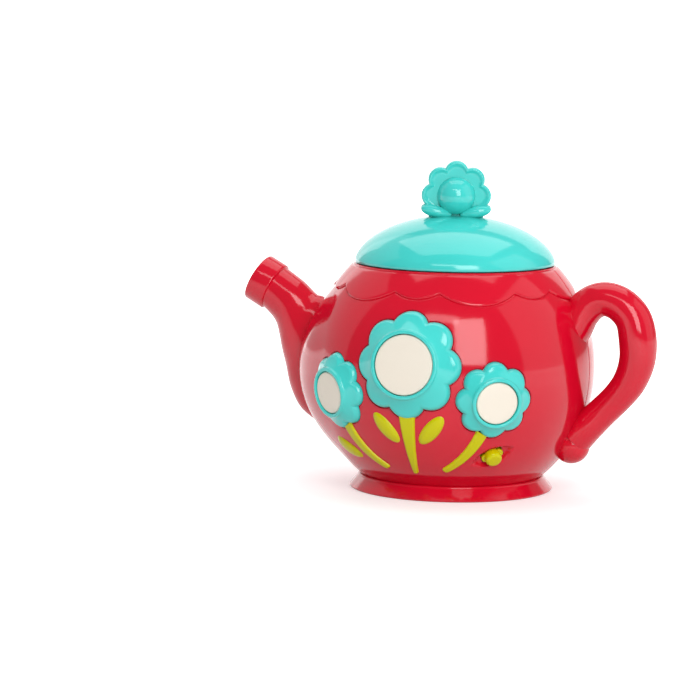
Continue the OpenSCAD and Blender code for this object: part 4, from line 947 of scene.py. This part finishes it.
outer = [p for p in lid_curve(0, LID_STEPS) if p[0] > SCREW_R and p[1] > LID_Z + LIP_END]
inner = [p for p in lid_curve(LID_WALL, INNER_STEPS) if p[0] > SCREW_R]
lip = [(LID_R - r, LID_Z + z) for r, z in LID_LIP]
lid_profile = lip + outer + [(SCREW_R, outer[-1][1]), (SCREW_R, inner[-1][1])] + inner[::-1] + lip[:1]
lid = as_object("lid_shell", face_outwards(turned(lid_profile, steps=192)))
dress(lid, teal_gloss, "lid", ["lid_dome"], crease=50)

# %% [markdown]
# The knob is a flower that stands upright: eight petals with a thick rounded rim, a dished face, a
# ball in the middle on both sides, and two plump leaves at its foot on each side. The dish follows
# the outline, so no crease runs round it.

# %% Flower knob
KNOB_TURN, KNOB_Z, KNOB_TIP, KNOB_PETAL = 18.5, 134, 15.95, 5.6
KNOB_HALF, BEAD, DISH, RIM_SHARE = 3.5, 2, 0.9, 0.35
BALL_MIDDLE_R, BALL_OUT = 8.7, 1.8
knob_at = (Matrix.Translation((0, 0, KNOB_Z)) @ Matrix.Rotation(math.radians(KNOB_TURN), 4, "Z")
           @ Matrix.Rotation(math.pi / 2, 4, "X"))
KNOB_COLUMNS, KNOB_ROWS = PETALS * 24, 26


def knob_place(i, j):
    angle = math.pi / 2 + 2 * math.pi * (i % KNOB_COLUMNS) / KNOB_COLUMNS
    front_row = j <= KNOB_ROWS
    t = (j if front_row else 2 * KNOB_ROWS - j) / KNOB_ROWS
    out = petal_reach(angle, KNOB_TIP, KNOB_PETAL)
    radius = out * (1 - (1 - t) ** 2)
    inside = out - radius
    dish = DISH * smooth_step((inside - BEAD / 2) / BEAD)
    height = KNOB_HALF * (RIM_SHARE + (1 - RIM_SHARE) * round_over(inside / (BEAD / 2))) - dish
    if j in (0, 2 * KNOB_ROWS):
        radius = 0
    if not front_row:
        height = -height
    return knob_at @ Vector((radius * math.cos(angle), radius * math.sin(angle), height))


def knob_ball(side):
    bm = bmesh.new()
    bmesh.ops.create_uvsphere(bm, u_segments=64, v_segments=32, radius=BALL_MIDDLE_R)
    out = Matrix.Translation((0, 0, side * BALL_OUT))
    bmesh.ops.transform(bm, matrix=Matrix.Scale(MM, 4) @ knob_at @ out, verts=bm.verts)
    return face_outwards(bm)


LEAF_HALF = (7.2, 3.3, 2.9)
LEAF_Z, LEAF_OUT, LEAF_ASIDE, LEAF_TIP_UP, THINNER = 126.9, 4.3, 8.9, -12, 0.28


def knob_leaf(x_side, side):
    """A plump leaf: a ball drawn out along x, thinner towards its inner tip and tipped up outside."""
    bm = bmesh.new()
    bmesh.ops.create_uvsphere(bm, u_segments=48, v_segments=24, radius=1)
    for v in bm.verts:
        x, y, z = v.co
        plump = 1 - THINNER * (1 - x) ** 2 / 4
        v.co = (x * LEAF_HALF[0], y * LEAF_HALF[1] * plump, z * LEAF_HALF[2] * plump)
    bmesh.ops.transform(bm, verts=bm.verts, matrix=Matrix.Scale(MM, 4)
                        @ Matrix.Translation((0, 0, LEAF_Z))
                        @ Matrix.Rotation(math.radians(KNOB_TURN), 4, "Z")
                        @ Matrix.Translation((0, -side * LEAF_OUT, 0)) @ Matrix.Diagonal((x_side, 1, 1, 1))
                        @ Matrix.Translation((LEAF_ASIDE, 0, 0))
                        @ Matrix.Rotation(math.radians(LEAF_TIP_UP), 4, "Y"))
    return face_outwards(bm)


petals = face_outwards(bent_sheet(KNOB_COLUMNS, 2 * KNOB_ROWS, knob_place))
extras = [knob_ball(s) for s in (-1, 1)] + [knob_leaf(x, s) for x in (-1, 1) for s in (-1, 1)]
dress(as_object("lid_flower", joined(petals, *extras)), teal_gloss, "lid", ["lid_knob"], crease=55)

# %% [markdown]
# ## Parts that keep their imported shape
# Base, tea well, lid liner and everything inside the body are already right as they come, so
# they only get finishes: plastics for the mouldings, metal for screws, springs and the speaker's
# basket, and plain workshop materials for boards, cells and wires.

# %% Metal, board and paper finishes
def metal(name, tint, deep_tint, gloss):
    finish = moulded(name, tint, deep_tint, gloss, ripple=0.15, ripple_scale=1200)
    finish.node_tree.nodes["Principled BSDF"].inputs["Metallic"].default_value = 1
    return finish


screw_steel = metal("screw_steel", (196, 198, 202), (170, 172, 176), 0.3)
circuit_board = moulded("circuit_board", (30, 110, 62), (18, 84, 48), 0.4, 0.3, 900)
black_plastic = moulded("black_plastic", (26, 26, 28), (18, 18, 20), 0.4, 0.2, 700)
magnet_iron = metal("magnet_iron", (70, 70, 74), (52, 52, 56), 0.5)
cone_paper = moulded("cone_paper", (66, 63, 60), (48, 46, 44), 0.85, 0.6, 1600)
cell_sleeve = moulded("cell_sleeve", (40, 44, 52), (30, 33, 40), 0.3, 0.1, 300)
red_lead = moulded("red_lead", (190, 24, 26), (168, 16, 20), 0.45, 0.15, 900)
black_lead = moulded("black_lead", (28, 28, 30), (20, 20, 22), 0.45, 0.15, 900)
print("finishes in all:", len(bpy.data.materials))

# %% [markdown]
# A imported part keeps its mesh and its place, so only its material is changed. One table from each
# finish to its parts keeps that in a single loop.

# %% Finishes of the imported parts
PACKED = {
    red_shell: ["base", "tea_well", "battery_door"],
    teal_gloss: ["lid_liner"],
    circuit_board: ["centre_button_board", "left_button_board", "right_button_board", "switch_board",
                    "main_board"],
    screw_steel: ["button_board_screws", "switch_screws", "knob_screw", "speaker_screws",
                  "main_board_screws", "door_screws", "base_screws", "shell_screws", "speaker_basket",
                  "contact_plates", "contact_springs"],
    black_plastic: ["switch_body", "sound_chip"],
    magnet_iron: ["speaker_magnet"],
    cone_paper: ["speaker_cone"],
    cell_sleeve: ["front_cell", "rear_cell"],
    red_lead: ["speaker_leads", "battery_leads"],
    black_lead: ["button_leads", "switch_leads"],
}
for finish, names in PACKED.items():
    for name in names:
        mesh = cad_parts[name].data
        mesh.materials.clear()
        mesh.materials.append(finish)
print("packed parts:", sum(len(names) for names in PACKED.values()))

# %% [markdown]
# ## Table, light and background
# The teapot stands in a white surround with a soft shadow. One wide pale floor fills the whole
# picture. It is lit like any surface, so it keeps the shadow. A glow that only camera, mirror and
# glass rays see grows with the distance from the teapot and brings the floor up to white further out.

# %% Floor
FLOOR_R, FLOOR_DROP, TABLE_GREY, TABLE_ROUGH = 14, 0.05, 0.7, 0.7
NEAR, FAR, NEAR_GLOW = 0.1, 0.4, 0.45
floor_bm = bmesh.new()
bmesh.ops.create_circle(floor_bm, cap_ends=True, segments=64, radius=FLOOR_R)
bmesh.ops.transform(floor_bm, matrix=Matrix.Translation((0, 0, -FLOOR_DROP * MM)), verts=floor_bm.verts)
floor = as_object("floor", floor_bm)
white_table = bpy.data.materials.new("white_table")
white_table.use_nodes = True
table_nodes, table_links = white_table.node_tree.nodes, white_table.node_tree.links
table = table_nodes["Principled BSDF"]
table.inputs["Base Color"].default_value = (TABLE_GREY, TABLE_GREY, TABLE_GREY, 1)
table.inputs["Roughness"].default_value = TABLE_ROUGH
table.inputs["Emission Color"].default_value = (1, 1, 1, 1)
where = table_nodes.new("ShaderNodeTexCoord")
far = table_nodes.new("ShaderNodeVectorMath")
far.operation = "LENGTH"
glow = table_nodes.new("ShaderNodeMapRange")
for socket, value in (("From Min", NEAR), ("From Max", FAR), ("To Min", NEAR_GLOW), ("To Max", 1)):
    glow.inputs[socket].default_value = value
table_links.new(where.outputs["Object"], far.inputs[0])
table_links.new(far.outputs["Value"], glow.inputs["Value"])
rays = table_nodes.new("ShaderNodeLightPath")
seen, seen_all, shown = (table_nodes.new("ShaderNodeMath") for _ in range(3))
seen.operation, seen_all.operation, shown.operation = "ADD", "ADD", "MULTIPLY"
table_links.new(rays.outputs["Is Camera Ray"], seen.inputs[0])
table_links.new(rays.outputs["Is Glossy Ray"], seen.inputs[1])
table_links.new(seen.outputs["Value"], seen_all.inputs[0])
table_links.new(rays.outputs["Is Transmission Ray"], seen_all.inputs[1])
table_links.new(seen_all.outputs["Value"], shown.inputs[0])
table_links.new(glow.outputs["Result"], shown.inputs[1])
table_links.new(shown.outputs["Value"], table.inputs["Emission Strength"])
floor.data.materials.append(white_table)
print("floor:", 2 * FLOOR_R, "m wide, white from", FAR, "m outwards")

# %% [markdown]
# The world only fills the shadows a little. It is the same from all sides, so it draws no shape in
# the gloss.

# %% World
WORLD_LIGHT = 0.27
world = bpy.data.worlds.new("studio")
bpy.context.scene.world = world
world.use_nodes = True
surround = world.node_tree.nodes["Background"]
surround.inputs["Color"].default_value = (1, 1, 1, 1)
surround.inputs["Strength"].default_value = WORLD_LIGHT
print("world light:", WORLD_LIGHT)

# %% [markdown]
# The panels stand where their mirror images show in the gloss of the real one: a box to the right of
# the camera, a strip above it, and wide soft panels right, left, above and behind.

# %% Light panels
def panel(name, turn, lift, distance, width, height, power):
    """A rectangle of light, placed like a place on the ball and turned to the teapot."""
    light = bpy.data.lights.new(name, "AREA")
    light.shape, light.size, light.size_y, light.energy = "RECTANGLE", width, height, power
    lamp = bpy.data.objects.new(name, light)
    bpy.context.scene.collection.objects.link(lamp)
    way = heading(turn, lift)
    turned_in = way.to_track_quat("Z", "Y").to_matrix().to_4x4()
    lamp.matrix_world = Matrix.Translation(AIM + way * distance) @ turned_in
    return lamp


panels = [
    panel("front_box", 33, 24, 1.3, 0.55, 0.85, 9.6),
    panel("high_strip", 6, 42, 1.3, 0.6, 0.14, 1.1),
    panel("right_panel", 100, 18, 1.3, 1.2, 1.9, 6),
    panel("left_panel", -104, 18, 1.4, 1.5, 1.9, 5),
    panel("top_panel", 198, 76, 1.5, 1.5, 1.3, 11),
    panel("back_panel", 198, 20, 1.7, 2.6, 1.4, 13),
]
print("lights:", [p.name for p in panels])

# %% [markdown]
# ## Colour handling and the last look
# The plain Standard view shows colours as they are written.

# %% Finish
bpy.context.scene.view_settings.view_transform = "Standard"
